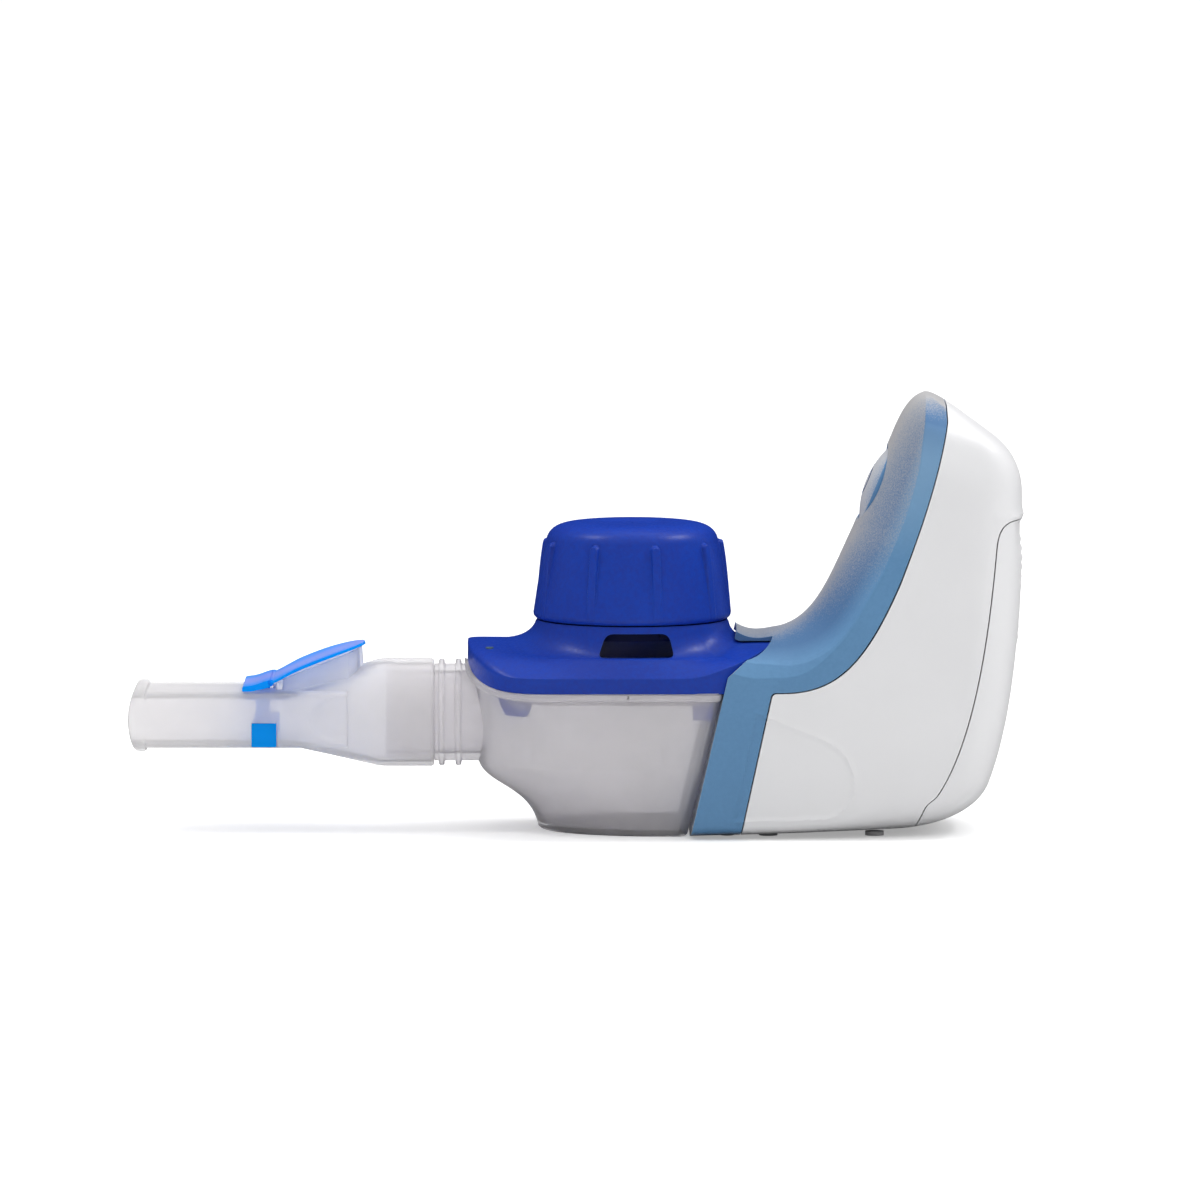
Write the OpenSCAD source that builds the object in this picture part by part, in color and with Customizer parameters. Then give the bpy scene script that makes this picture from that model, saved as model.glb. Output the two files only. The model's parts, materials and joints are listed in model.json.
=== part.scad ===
// Handheld mesh nebulizer: a handle with batteries and driver, a medication head with a screw cap,
// an aerosol chamber that clips under the head, and a mouthpiece with an exhalation valve.
// Frame: origin on the table under the cap's axis, +X towards the handle, +Z up.

/* [Breathing connector] */
// Height of the outlet axis above the table
port_z = 27.4; // [27.2:0.1:27.6]
// Radius of the outlet spigot, a standard 22 mm male connector
spigot_r = 11; // [10.9:0.05:11.05]
// Outside radius of the mouthpiece socket
socket_r = 12.77; // [12.6:0.05:12.9]
// Depth of the socket over the spigot
socket_depth = 11.3; // [10.5:0.1:11.5]

/* [Mouthpiece] */
// X of the lip end
tip_x = -118.8; // [-119.5:0.1:-118]
// Half width of the flat mouth tube
tip_half_w = 13.5; // [13:0.1:13.8]
// Height of the flat mouth tube
tip_h = 13.4; // [13:0.1:13.8]
// Wall of the translucent mouldings
clear_wall = 1.5; // [1.3:0.1:1.6]
// Slope of the closed exhalation flap in degrees
flap_tilt = 21.4; // [21:0.1:22]

/* [Medication cap] */
// Radius at the bottom edge
cap_r = 23.4; // [23.2:0.05:23.5]
// Radius where the side meets the top rounding
cap_top_r = 20.4; // [20.2:0.05:20.6]
// Height of the cap
cap_h = 22.9; // [22.6:0.1:23.2]
// Number of grip ribs
cap_ribs = 9; // [6:1:12]

/* [Head and chamber] */
// Half width of the lid and the chamber rim
rim_half_w = 29; // [28.8:0.05:29.1]
// Distance from the cap axis to the lid's nose
nose_reach = 38.9; // [38.6:0.1:39.1]
// Radius of the lid's round neck under the cap
neck_r = 22.8; // [22.7:0.05:22.9]
// Height of the lid's top face, under the cap
neck_z = 49.6; // [49.5:0.05:49.7]

/* [Handle] */
// Height of the handle
handle_h = 103.1; // [102.9:0.1:103.3]
// Half width of the handle at the head
handle_half_w = 29; // [28.8:0.05:29.2]
// Wall of the handle shells
shell_wall = 2.2; // [2:0.1:2.4]
// Radius of the power button
button_r = 9.8; // [9.6:0.05:10]
// How far the button stands out of the face
button_proud = 1.7; // [1.6:0.05:1.8]
// Diameter of one battery cell
cell_d = 14.5; // [14.2:0.1:14.5]
// Length of one battery cell
cell_len = 50.5; // [49.5:0.1:50.5]

/* [Hidden] */
$fn = 96;
seam = 0.25;          // open joint between neighbouring shells
slip = 0.05;          // radial clearance of turning and sliding fits
far = 200;            // reach of a cutting body
lean = 13.6;          // backward lean of the face between head and handle
face_foot_x = 13.2;   // X where that face meets the table plane
face_tilt = 22.7;     // lean of the straight part of the handle's front
button_at = [57.1, 0, 81.9];

// ---------- curves and lofts ----------
function mix(a, b, t) = a + (b - a) * t;
function bez(a, b, c, d, t) =
    pow(1 - t, 3) * a + 3 * pow(1 - t, 2) * t * b + 3 * (1 - t) * t * t * c + pow(t, 3) * d;
function arc_of(a, b, c, d, n = 12) = [for (i = [1:n]) bez(a, b, c, d, i / n)];
// Value at t in a list of equally spaced keys
function keyed(keys, t) =
    let (s = t * (len(keys) - 1), i = min(floor(s), len(keys) - 2)) mix(keys[i], keys[i + 1], s - i);
function smooth(t) = t * t * (3 - 2 * t);
function face_x(z) = face_foot_x + z * tan(lean);

// Closed solid through planar rings that all have the same number of points
module loft(rings) {
    n = len(rings[0]);
    m = len(rings);
    sides = [for (i = [0:m - 2]) for (j = [0:n - 1])
        each let (a = i * n + j, b = i * n + (j + 1) % n) [[a, b + n, a + n], [a, b, b + n]]];
    polyhedron([for (r = rings) each r],
        concat([[for (j = [n - 1:-1:0]) j]], sides, [[for (j = [0:n - 1]) (m - 1) * n + j]]));
}

// Closed ring-shaped solid: each loop is a section, and the last loop meets the first
module ring_loft(loops) {
    n = len(loops[0]);
    m = len(loops);
    polyhedron([for (r = loops) each r],
        [for (i = [0:m - 1]) for (j = [0:n - 1])
            each let (a = i * n + j, b = i * n + (j + 1) % n, k = (i + 1) % m * n - i * n)
                [[a, a + k, b + k], [a, b + k, b]]]);
}

// Prism across the whole width from an outline in X and Z
module across(outline, half = far / 2) {
    rotate([90, 0, 0]) linear_extrude(2 * half, center = true) polygon(outline);
}

// ---------- handle form ----------
// Fan of planar sections from the leaning front face (t = 0) to the crown (t = 1)
function handle_front(t) = t < 0.3
    ? bez([24.6, 47.6], [27.5, 46.3], [30, 46], [35, 47.6], t / 0.3)
    : t < 0.6
    ? bez([35, 47.6], [43.6, 50.6], [46.8, 60], [52.1, 71.4], (t - 0.3) / 0.3)
    : t < 0.84
    ? mix([52.1, 71.4], [61.5, 93.9], (t - 0.6) / 0.24)
    : bez([61.5, 93.9], [63.8, 99.5], [66.2, handle_h], [69.1, handle_h], (t - 0.84) / 0.16);
function handle_back(t) = t < 0.36
    ? mix([face_foot_x + 0.3, 1], [62, 1], t / 0.36)
    : t < 0.52
    ? bez([62, 1], [73, 1], [81.4, 4.6], [84.2, 11.2], (t - 0.36) / 0.16)
    : t < 0.8
    ? bez([84.2, 11.2], [91.6, 30], [92.2, 62], [92, 79.7], (t - 0.52) / 0.28)
    : t < 0.9
    ? bez([92, 79.7], [92, 85], [90.3, 89.1], [86.1, 92.4], (t - 0.8) / 0.1)
    : bez([86.1, 92.4], [76.5, 99.6], [72, handle_h], [69.6, handle_h], (t - 0.9) / 0.1);
// Half width, depth of the front dome, size of the bevel beside it and depth of the rear rounding
function handle_width(t) = keyed([1, 1, 1, 1, 0.99, 0.975, 0.95, 0.91, 0.85, 0.72, 0.2], t) * handle_half_w;
function dome_depth(t) = keyed([5, 5, 5.2, 7, 8.8, 9.8, 10.4, 9.6, 7.8, 4.8, 0.15], t);
function bevel(t) = keyed([2.8, 2.8, 2.6, 2.2, 1.9, 1.7, 1.6, 1.6, 1.5, 1.1, 0.1], t);
function back_depth(t) = keyed([4, 4, 4.5, 7, 12, 15, 17, 17, 14, 6, 0.12], t);
dome_a = 15;            // half width over which the dome's crest is round

// Ring of one section: a domed front, a bevel, straight sides and a rounded back
function handle_ring(t, inset = 0, half = 10) =
    let (
        f = handle_front(t), b = handle_back(t),
        len_fb = norm(b - f), dir = (b - f) / len_fb,
        reach = len_fb - 2 * inset, w = handle_width(t) - inset,
        dd = min(dome_depth(t), 0.4 * reach), bev = min(bevel(t), 0.1 * reach),
        bd = min(back_depth(t), 0.45 * reach), yc = w - 0.75 * bev,
        rise = sqrt(1 + pow(yc / dome_a, 2)) - 1,
        side = concat(
            [for (i = [0:half]) let (y = yc * i / half)
                [dd * (sqrt(1 + pow(y / dome_a, 2)) - 1) / rise, y]],
            [[dd + 0.45 * bev, w - 0.22 * bev], [dd + 1.1 * bev, w]],
            [for (i = [0:half]) let (a = 90 * i / half)
                [reach - bd * (1 - pow(sin(a), 0.7)), w * pow(cos(a), 0.7)]]),
        both = concat(side, [for (i = [len(side) - 2:-1:1]) [side[i][0], -side[i][1]]]))
    [for (p = both) let (q = f + dir * (inset + p[0])) [q[0], p[1], q[1]]];

module handle_form() loft([for (i = [0:30]) handle_ring(i / 30)]);
// The hollow stays one wall inside the form and leaves a solid block around the head's pocket
module handle_hollow() difference() {
    loft([for (i = [0:24]) handle_ring(mix(0.035, 0.955, i / 24), shell_wall)]);
    translate([0, -far / 2, 31.6]) cube([36, far, far]);
}

// Line between the coloured front cover and the white housing
function cover_seam(gap) = concat(
    [[25.3 + gap, -5], [25.3 + gap, 1], [32.6 + gap, 34.6 - gap]],
    arc_of([34, 34.8 - gap], [47 + gap, 34.8 - gap], [54 + gap, 40.5 - gap], [62.6 + gap, 60.4 - gap]),
    arc_of([62.6 + gap, 60.4 - gap], [66.6 + gap, 70.5], [71.5 + gap, 84], [73.8 + gap, 97.5]),
    [[73.4 + gap, 110]]);
// Line between the housing and the battery door
function door_seam(gap) = concat(
    [[95, 74.4 - gap], [89.3, 74.2 - gap]],
    arc_of([89.3, 74.2 - gap], [86.9 + gap, 73.6 - gap], [85.9 + gap, 72], [85.5 + gap, 68.3], 6),
    arc_of([85.5 + gap, 68.3], [84 + gap, 52], [81 + gap, 24], [71.4 + gap, 10]),
    [[69 + gap, 8], [66.4 + gap, 1.8], [66.4 + gap, -5]]);

module front_of_cover_seam(gap) across(concat([[-30, -5]], cover_seam(gap), [[-30, 110]]));
module behind_door_seam(gap) across(concat(door_seam(gap), [[110, -5], [110, 74.4 - gap]]));

// Tilted frame on the handle's straight front: local Z points out of the face
module on_face() translate(button_at) rotate([0, face_tilt - 90, 0]) children();

// ---------- head form ----------
nose_r = 21;            // length of the lid's rounded nose
rear_x = 33;            // X of the lid's rearmost point
lid_wall = 1.8;
neck_bore_r = 20.2;     // hole in the lid that holds the reservoir
side_z = 34.4;          // bottom of the lid's rim along the sides
nose_rise = 6.1;        // how much higher the rim sits at the nose
rim_h = 3.6;            // height of the lid's rim band
clip_gap = 0.35;        // joint between lid and chamber

// 1 on the centre line and 0 at the widest point, smooth at both
function crown(y) = pow(1 - pow(min(abs(y) / rim_half_w, 1), 1.6), 1.6);
function rim_z(x, y) = side_z + nose_rise * crown(y) * (x < 0 ? 1 : 0);

// Quarter of a superellipse as [x, y] from the tip to full width
function quarter(a, b, p, n) = [for (i = [0:n]) let (t = 90 * i / n)
    [a * pow(cos(t), 2 / p), b * pow(sin(t), 2 / p)]];
// Lid outline from above, inset by d, anticlockwise from the nose
function lid_outline(d = 0, n = 14) =
    let (
        nose = [for (q = quarter(nose_r - d, rim_half_w - d, 2.5, n)) [nose_r - nose_reach - q[0], q[1]]],
        rear = [for (q = quarter(rear_x - 5 - d, rim_half_w - d, 4, n)) [5 + q[0], q[1]]],
        top = concat(nose, [for (i = [n:-1:0]) rear[i]]))
    [for (p = concat(top, [for (i = [len(top) - 2:-1:1]) [top[i][0], -top[i][1]]])) [p[0], -p[1]]];

// Upper surface of the lid at q, from the neck (0) to the rim (1), on the way to outline point p
function lid_r(p, q) = mix(neck_r, norm(p), q);
function lid_z(p, q) =
    let (
        g = crown(p[1]), flank = 0.36,
        z_front = side_z + nose_rise * g + rim_h,
        z_rear = side_z + rim_h + 7.1 * pow(1 - pow(min(abs(p[1]) / rim_half_w, 1), 3), 0.6),
        rear = smooth(max(0, min(1, (p[0] - 8) / 14))),
        z_shoulder = mix(42.4 + 2.8 * g, z_rear, rear), z_rim = mix(z_front, z_rear, rear))
    q < flank
    ? bez([0, neck_z], [0.04, mix(neck_z, z_shoulder, 0.55)], [0.14, z_shoulder + 0.3], [flank, z_shoulder],
        pow(q / flank, 0.6))[1]
    : let (u = (q - flank) / (1 - flank), k = 2 + 5 * g)
        z_rim + (z_shoulder - z_rim) * pow(1 - pow(u, k), 1 / k);
flank_steps = [0, 0.02, 0.06, 0.12, 0.22, 0.36, 0.6, 0.8, 0.92, 0.98, 1];
function lid_loop(p) =
    let (
        u = p / norm(p), zb = rim_z(p[0], p[1]),
        top = [for (q = flank_steps) let (r = lid_r(p, q)) [r, lid_z(p, q)]],
        r1 = norm(p), ri = r1 - lid_wall,
        under = [[r1, zb], [ri, zb], [ri, lid_z(p, 1) - lid_wall],
            [lid_r(p, 0.36) - lid_wall, lid_z(p, 0.36) - lid_wall], [neck_r - lid_wall, neck_z - 3],
            [neck_bore_r - 2, neck_z - 3], [neck_bore_r - 2, neck_z]])
    [for (q = concat(top, under)) [u[0] * q[0], u[1] * q[0], q[1]]];
module lid_prism(grow, z0, z1) translate([0, 0, z0]) linear_extrude(z1 - z0) polygon(lid_outline(-grow));

// Chamber nose from the rim (0) to the flat base (1)
function chamber_nose(t) = t < 0.45
    ? mix([-nose_reach, side_z + nose_rise], [-36.4, 16.5], t / 0.45)
    : bez([-36.4, 16.5], [-35.6, 10.6], [-24, 10.6], [-22.1, 0], (t - 0.45) / 0.55);
function chamber_ring(t, d = 0, lift = 0, n = 14) =
    let (
        nose = chamber_nose(t), z = nose[1] + lift,
        deep = min(t / 0.45, 1), low = max((16.5 - nose[1]) / 16.5, 0),
        xc = mix(nose_r - nose_reach, mix(-12, 8, low), deep),
        w = mix(mix(rim_half_w, 26.6, deep), 21.4, low) - d,
        p = mix(2.5, 2.1, deep), xr = face_x(z) - 0.4 - max(min(d, 1.9), 0), rc = 2.5,
        half = concat(
            [for (q = quarter(xc - nose[0] - d, w, p, n)) [xc - q[0], q[1]]],
            [for (i = [0:3]) let (a = 30 * i) [xr - rc * (1 - sin(a)), w - rc * (1 - cos(a))]], [[xr, 0]]),
        both = concat(half, [for (i = [len(half) - 2:-1:1]) [half[i][0], -half[i][1]]]))
    [for (q = both)
        let (zt = rim_z(q[0], q[1]) - clip_gap, k = (1 - deep), zz = mix(z, zt + lift, k))
        [q[0] + (q[0] > 0 ? (zz - z) * tan(lean) : 0), -q[1], zz]];

// ---------- mouthpiece form ----------
tube_cz = 26.7;
// 0 to 1, straight with a soft start and end
function flare(u) = let (c = max(0, min(1, u)), e = 0.12) c < e ? c * c / (2 * e * (1 - e))
    : c > 1 - e ? 1 - (1 - c) * (1 - c) / (2 * e * (1 - e)) : (c - e / 2) / (1 - e);
// Ring of the mouthpiece at x: round at the socket, flat and wide at the lips.
// A positive grow only thickens it above and below.
function mouth_ring(x, grow = 0, n = 40) =
    let (
        k = flare((x + 82.6) / 24.4),
        w = mix(tip_half_w, socket_r - 0.02, k) + min(grow, 0), h = mix(tip_h / 2, socket_r - 0.02, k) + grow,
        cz = mix(tube_cz, port_z, k), e = mix(2 / 4.4, 1, k), near_tip = max(0, (-100 - x) / 18))
    [for (i = [0:n - 1]) let (
        a = 360 * i / n, c = cos(a), s = sin(a),
        y = w * sign(c) * pow(abs(c), e), z = h * sign(s) * pow(abs(s), e))
        [x + near_tip * z * z / 38, -y, cz + z]];

// ---------- screws and fits ----------
screw_y = 20.5;
screw_zs = [9.5, 27];
screw_spots = [for (y = [-screw_y, screw_y]) for (z = screw_zs) [y, z]];
screw_r = 1.5;
module along_x(x0, x1, r, y = 0, z = 0) translate([x0, y, z]) rotate([0, 90, 0]) cylinder(h = x1 - x0, r = r);
hinge_at = [66.55, 1.6];     // X and Z of the battery door's hinge
knuckle_r = 1.3;
hinge_pin_r = 0.6;
lug_y = 14;                  // centre of each housing lug
lug_w = 4;
ear_w = 2;
module hinge_rod(y0, y1, r) for (s = [-1, 1])
    translate([hinge_at[0], s * (y0 + y1) / 2, hinge_at[1]]) rotate([90, 0, 0])
        cylinder(h = y1 - y0, r = r, center = true);
ear_y = lug_y + lug_w / 2 + 0.15;
module ears(r, grow) hinge_rod(ear_y - grow, ear_y + ear_w + grow, r);
module lugs(r, grow) hinge_rod(lug_y - lug_w / 2 - grow, lug_y + lug_w / 2 + grow, r);

// ---------- handle nodes ----------
module handle_housing() color("whitesmoke") difference() {
    union() {
        difference() {
            handle_form();
            handle_hollow();
            front_of_cover_seam(seam);
            behind_door_seam(-seam);
            ears(knuckle_r + 0.15, 0.15);
        }
        lugs(knuckle_r, 0);
        screw_tabs();
    }
    lugs(hinge_pin_r + slip, 0.5);
    for (p = screw_spots) along_x(26, 34, screw_r + slip, p[0], p[1]);
}

// Tabs that the cover screws pull forward, each on a rib along the housing's side wall
tab_x = 28.2;
tab_t = 2.4;
module screw_tabs() for (s = [-1, 1]) for (z = screw_zs) {
    translate([tab_x, s * (screw_y + 0.5) - 4.5, z - 4]) cube([tab_t, 9, 8]);
    difference() {
        translate([tab_x, s * 25.8 - 1.4, z - 4]) cube([9, 2.8, 8]);
        front_of_cover_seam(seam);
    }
}

module front_cover() color("steelblue") difference() {
    union() {
        difference() {
            intersection() {
                handle_form();
                front_of_cover_seam(0);
            }
            handle_hollow();
            head_pocket();
        }
        for (p = screw_spots) along_x(face_x(p[1]) + 1.5, 27.8, 3.4, p[0], p[1]);
    }
    for (p = screw_spots) along_x(face_x(p[1]) + 2.5, 34, screw_r + slip, p[0], p[1]);
    on_face() {
        translate([0, 0, -8]) cylinder(h = 16, r = button_r + slip);
        translate([0, 0, -12]) cylinder(h = 12 + flange_top + slip, r = flange_r + 0.2);
    }
    for (y = pin_ys) along_x(30, 40, pin_r + slip, y, pin_z);
}
// Room for the rear of the lid, open to the front; the tongue above it stays
tongue_half_w = 12;
tongue_z = 45.35;
module head_pocket() {
    lid_prism(0.35, side_z - 0.5, tongue_z);
    difference() {
        lid_prism(0.35, side_z, 60);
        translate([0, -tongue_half_w, tongue_z]) cube([60, 2 * tongue_half_w, 30]);
    }
    translate([0, 0, tongue_z - 0.1]) cylinder(h = 2.4, r1 = 28, r2 = 23.8);
}

module battery_door() color("whitesmoke") {
    difference() {
        union() {
            difference() {
                intersection() {
                    handle_form();
                    behind_door_seam(0);
                }
                handle_hollow();
            }
            ears(knuckle_r, 0);
        }
        lugs(knuckle_r + 0.15, 0.15);
    }
    hinge_rod(lug_y - lug_w / 2, ear_y + ear_w, hinge_pin_r);
}

flange_top = -3.1;      // top of the button's hidden flange, below the face
flange_r = button_r + 1;
stem_end = -6;
board_face = -10.4;     // depth of the circuit board's front below the face
board_t = 1.6;
button_travel = 0.8;
button_dome_r = 26;     // radius of the button's domed top
module button_top(z) translate([0, 0, z - button_dome_r]) sphere(r = button_dome_r);
module power_button() color("lightslategray") on_face() {
    difference() {
        intersection() {
            translate([0, 0, flange_top]) cylinder(h = 10, r = button_r);
            button_top(button_proud);
        }
        // Engraved power symbol: an open ring and a bar
        difference() {
            cylinder(h = 9, r = 3.4);
            translate([0, 0, -1]) cylinder(h = 12, r = 2.7);
            translate([0, -1.2, -1]) cube([6, 2.4, 12]);
            button_top(button_proud - 0.3);
        }
        difference() {
            translate([0.8, -0.35, 0]) cube([3.2, 0.7, 9]);
            button_top(button_proud - 0.3);
        }
    }
    translate([0, 0, flange_top - 1.4]) cylinder(h = 1.4, r = flange_r);
    translate([0, 0, stem_end]) cylinder(h = 3, r = 2);
}

module circuit_board() color("darkgreen") on_face() difference() {
    translate([-48, -17, board_face - board_t]) cube([58, 34, board_t]);
    for (x = [-44, 6]) for (y = [-13, 13]) translate([x, y, board_face - 3]) cylinder(h = 5, r = 1.6);
}
module tactile_switch() color("silver") on_face() {
    translate([-3, -3, board_face]) cube([6, 6, 3]);
    translate([0, 0, board_face + 2.5])
        cylinder(h = stem_end - button_travel - 0.1 - board_face - 2.5, r = 1.7);
}
module drive_coil() color("peru") on_face() translate([-30, 0, board_face + 2]) rotate_extrude()
    translate([4.4, 0]) circle(r = 1.95);

cell_x = 75.3;
cell_z = 16.4;
cell_ys = [-15, 0, 15];
module battery_cradle() color("gainsboro") difference() {
    translate([65.9, -23.6, 13.6]) cube([10.6, 47.2, cell_len + 6]);
    translate([67.4, -22.8, 15.2]) cube([20, 45.6, cell_len + 2.8]);
}
module battery_cells() color("goldenrod") for (y = cell_ys) translate([cell_x, y, cell_z]) {
    cylinder(h = cell_len - 1.2, r = cell_d / 2 - 0.05);
    translate([0, 0, cell_len - 1.3]) cylinder(h = 1.3, r = 2.7);
}
module cell_contacts() color("silver") for (y = cell_ys) translate([cell_x, y, 0]) {
    translate([-4, -5, cell_z - 0.9]) cube([8, 10, 0.6]);
    translate([0, 0, cell_z - 0.35]) cylinder(h = 0.3, r = 3);
    translate([-4, -5, cell_z + cell_len + 0.1]) cube([8, 10, 0.6]);
}

pin_ys = [-5, 0, 5];
pin_z = 39.5;
pin_r = 1;
module contact_pins() color("gold") for (y = pin_ys) along_x(rear_x + 0.2, 39, pin_r, y, pin_z);
module contact_pads() color("gold") for (y = pin_ys)
    translate([rear_x - 1.1, y - 1.6, pin_z - 2]) cube([1.15, 3.2, 4]);

module cover_screws() color("silver") for (p = screw_spots) {
    along_x(face_x(p[1]) + 3, 30.8, screw_r, p[0], p[1]);
    difference() {
        along_x(30.65, 32.4, 2.8, p[0], p[1]);
        translate([31.6, p[0] - 2, p[1] - 0.3]) cube([2, 4, 0.6]);
        translate([31.6, p[0] - 0.3, p[1] - 2]) cube([2, 0.6, 4]);
    }
}
module rubber_feet() color("dimgray") for (s = [-1, 1]) for (x = [22.3, 32, 57])
    translate([x, s * 17, 0]) cylinder(h = 0.98, r = x < 30 ? 1.6 : 2.2);

// ---------- head nodes ----------
vent_at = [-33.6, -12.5];   // small plug on one side of the nose
vent_r = 0.95;
vent_top = 44;
module lid() color("mediumblue") difference() {
    union() {
        ring_loft([for (p = lid_outline()) lid_loop(p)]);
        // Clip tabs that reach into the chamber
        for (s = [-1, 1]) {
            translate([0, s * 15.8, 0]) across([[-33, 39.2], [-31, 29], [-24.5, 29], [-22.5, 41]], 0.8);
            translate([0, s * 21.2, 0]) across([[14.6, 39.6], [15.1, 29], [17.5, 29], [19.4, 39.6]], 0.8);
        }
    }
    // Air slot through each flank
    for (s = [-1, 1]) translate([0.5, s * 25, 0])
        across([[-8.3, 42.7], [9.1, 42.7], [7.1, 47], [-6.8, 47]], 4);
    for (y = pin_ys) translate([rear_x - 1.15, y - 1.65, pin_z - 2.05]) cube([3, 3.3, 4.1]);
    translate([vent_at[0], vent_at[1], 40]) cylinder(h = 9, r = vent_r + slip);
    translate([0, 0, neck_z - 5]) cylinder(h = 6, r = neck_bore_r);
}
module vent_plug() color("slategray") translate([vent_at[0], vent_at[1], vent_top - 1.8])
    cylinder(h = 1.8, r = vent_r);

thread_z = 51;
thread_h = 9;
thread_lead = 18;       // axial travel in one turn
// Helical thread lobes between two radii, narrower at the crest
module thread_lobes(r_root, r_crest, phase) for (k = [0:2])
    rotate(120 * k + phase) linear_extrude(thread_h, twist = -360 * thread_h / thread_lead,
        slices = 18, segments = 8)
        polygon(concat(
            [for (a = [-16:8:16]) r_root * [cos(a), sin(a)]],
            [for (a = [9:-9:-9]) r_crest * [cos(a), sin(a)]]));
neck_top = 61.5;
module reservoir() color("mediumblue") {
    rotate_extrude() polygon([
        [17.9, neck_top], [16.4, neck_top], [16.4, 48], [5.2, 38.8], [5.2, 37.4], [12.5, 37.4], [12.5, 34.6],
        [14, 34.6], [14, 39.5], [20.1, 46], [20.1, neck_z], [17.9, neck_z]]);
    translate([0, 0, thread_z]) thread_lobes(17.6, 19, 0);
}
module ring(r0, r1, z0, z1) translate([0, 0, z0]) difference() {
    cylinder(h = z1 - z0, r = r1);
    translate([0, 0, -1]) cylinder(h = z1 - z0 + 2, r = r0);
}
module mesh_seal() color("white") ring(5.4, 12.4, 36.6, 37.35);
module piezo_ring() color("khaki") ring(6.2, 12.3, 35.7, 36.55);
module mesh_plate() color("silver") translate([0, 0, 35.45]) cylinder(h = 0.2, r = 7.5);
module mesh_retainer() color("lightgray") ring(4.8, 12.45, 34.6, 35.4);

seal_z = 61.6;
cap_z = neck_z + 0.3;
cap_top = cap_z + cap_h;
function cap_profile(grow) = concat(
    [[cap_r - 0.8 + grow, cap_z], [cap_r + grow, cap_z + 0.8]],
    arc_of([cap_r + grow, cap_z + 0.8], [cap_r - 0.9 + grow, cap_z + 7], [cap_top_r + 1.2 + grow, cap_z + 14],
        [cap_top_r + grow, cap_top - 4.6], 8),
    arc_of([cap_top_r + grow, cap_top - 4.6], [cap_top_r - 0.6 + grow, cap_top - 1.6],
        [cap_top_r - 2.8 + grow, cap_top - 0.5], [cap_top_r - 6.6, cap_top - 0.2], 8));
// How far the grip ribs stand out at height z
function rib_rise(z) = z > cap_top - 4.7 ? 0 : 0.8 * (z - cap_z) / cap_h;
module cap() color("mediumblue") {
    difference() {
        union() {
            rotate_extrude() polygon(concat([[0, cap_z]], cap_profile(0),
                [[7.5, cap_top], [6.5, cap_top - 0.35], [0, cap_top - 0.45]]));
            // Grip ribs that rise out of the side towards the top
            intersection() {
                rotate_extrude() polygon(concat([[15, cap_z]],
                    [for (p = cap_profile(0)) [p[0] + rib_rise(p[1]), p[1]]], [[15, cap_top - 1]]));
                for (k = [0:cap_ribs - 1]) rotate(-90 + 15 + 360 * k / cap_ribs)
                    translate([15, -1.2, cap_z + 0.5]) cube([12, 2.4, cap_h - 5]);
            }
        }
        translate([0, 0, cap_z - 1]) cylinder(h = 15, r = 19.6);
        translate([0, 0, cap_z + 13]) cylinder(h = 4.2, r = 18);
    }
    translate([0, 0, seal_z + 0.4]) cylinder(h = cap_z + 18 - seal_z - 0.4, r = 2.9);
    translate([0, 0, thread_z + 0.2]) thread_lobes(20.2, 18.4, 64);
}
module cap_seal() color("white") difference() {
    union() {
        translate([0, 0, seal_z]) cylinder(h = 2, r = 17.4);
        translate([0, 0, seal_z - 2.4]) cylinder(h = 2.5, r = 16.4 - slip);
    }
    translate([0, 0, seal_z - 3]) cylinder(h = 2.6, r = 13.5);
    translate([0, 0, seal_z - 1]) cylinder(h = 4, r = 2.9 + slip);
}

// ---------- chamber nodes ----------
neck_of_port_r = 11.5;
port_rings = [-45.05, -41.1];
port_end_x = -57.9;
module chamber() color("gainsboro") difference() {
    union() {
        loft(concat(
            [for (i = [12:-1:2]) chamber_ring(i / 12, clear_wall, i == 12 ? clear_wall : 0)],
            [chamber_ring(0, clear_wall, -2.6), chamber_ring(0, 3.4, 0), chamber_ring(0, -0.7, 0),
                chamber_ring(0, -0.7, -1.1), chamber_ring(0, 0, -1.9)],
            [for (i = [1:12]) chamber_ring(i / 12)]));
        difference() {
            union() {
                along_x(port_end_x, -30, spigot_r, 0, port_z);
                along_x(-46.7, -30, neck_of_port_r, 0, port_z);
                for (x = port_rings) along_x(x - 0.68, x + 0.68, socket_r - 0.1, 0, port_z);
            }
            translate([-36.3, -20, 0]) cube([20, 40, 50]);
        }
    }
    along_x(-70, -30, 9.2, 0, port_z);
}
module chamber_gasket() color("silver") ring_loft([for (i = [0:len(lid_outline()) - 1])
    let (a = lid_outline(2.1)[i], b = lid_outline(3.2)[i], z = rim_z(a[0], a[1]) + 0.1)
        [[b[0], b[1], z + 1.1], [a[0], a[1], z + 1.1], [a[0], a[1], z], [b[0], b[1], z]]]);

socket_x = -46.9;
tower = [-84.1, -63.2, 8.2];      // vent tower: X range and half width
flap_hinge = [-85, 35.6];         // X and Z of the crease
flap_half_w = 13.2;
flap_len = 23.4;
flap_t = 1;
crease_r = 0.65;
module at_flap() translate([flap_hinge[0], 0, flap_hinge[1]]) rotate([0, -flap_tilt, 0]) children();
module below_flap(gap) at_flap() translate([-60, -30, -60 - flap_t / 2 - gap]) cube([120, 60, 60]);
module crease(r, half) translate([flap_hinge[0], 0, flap_hinge[1]]) rotate([90, 0, 0])
    cylinder(h = 2 * half, r = r, center = true);
module tower_block(inset, z0) translate([0, 0, z0]) linear_extrude(40) intersection() {
    translate([tower[0] + inset, -tower[2] + inset])
        square([tower[1] - tower[0] - 2 * inset, 2 * tower[2] - 2 * inset]);
    translate([tower[1] - 11 - inset, 0]) circle(r = 11);
}
anchor_box = [-89.7, -83.9, 20.4, 26];      // X and Z limits of the valve's anchor
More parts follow.
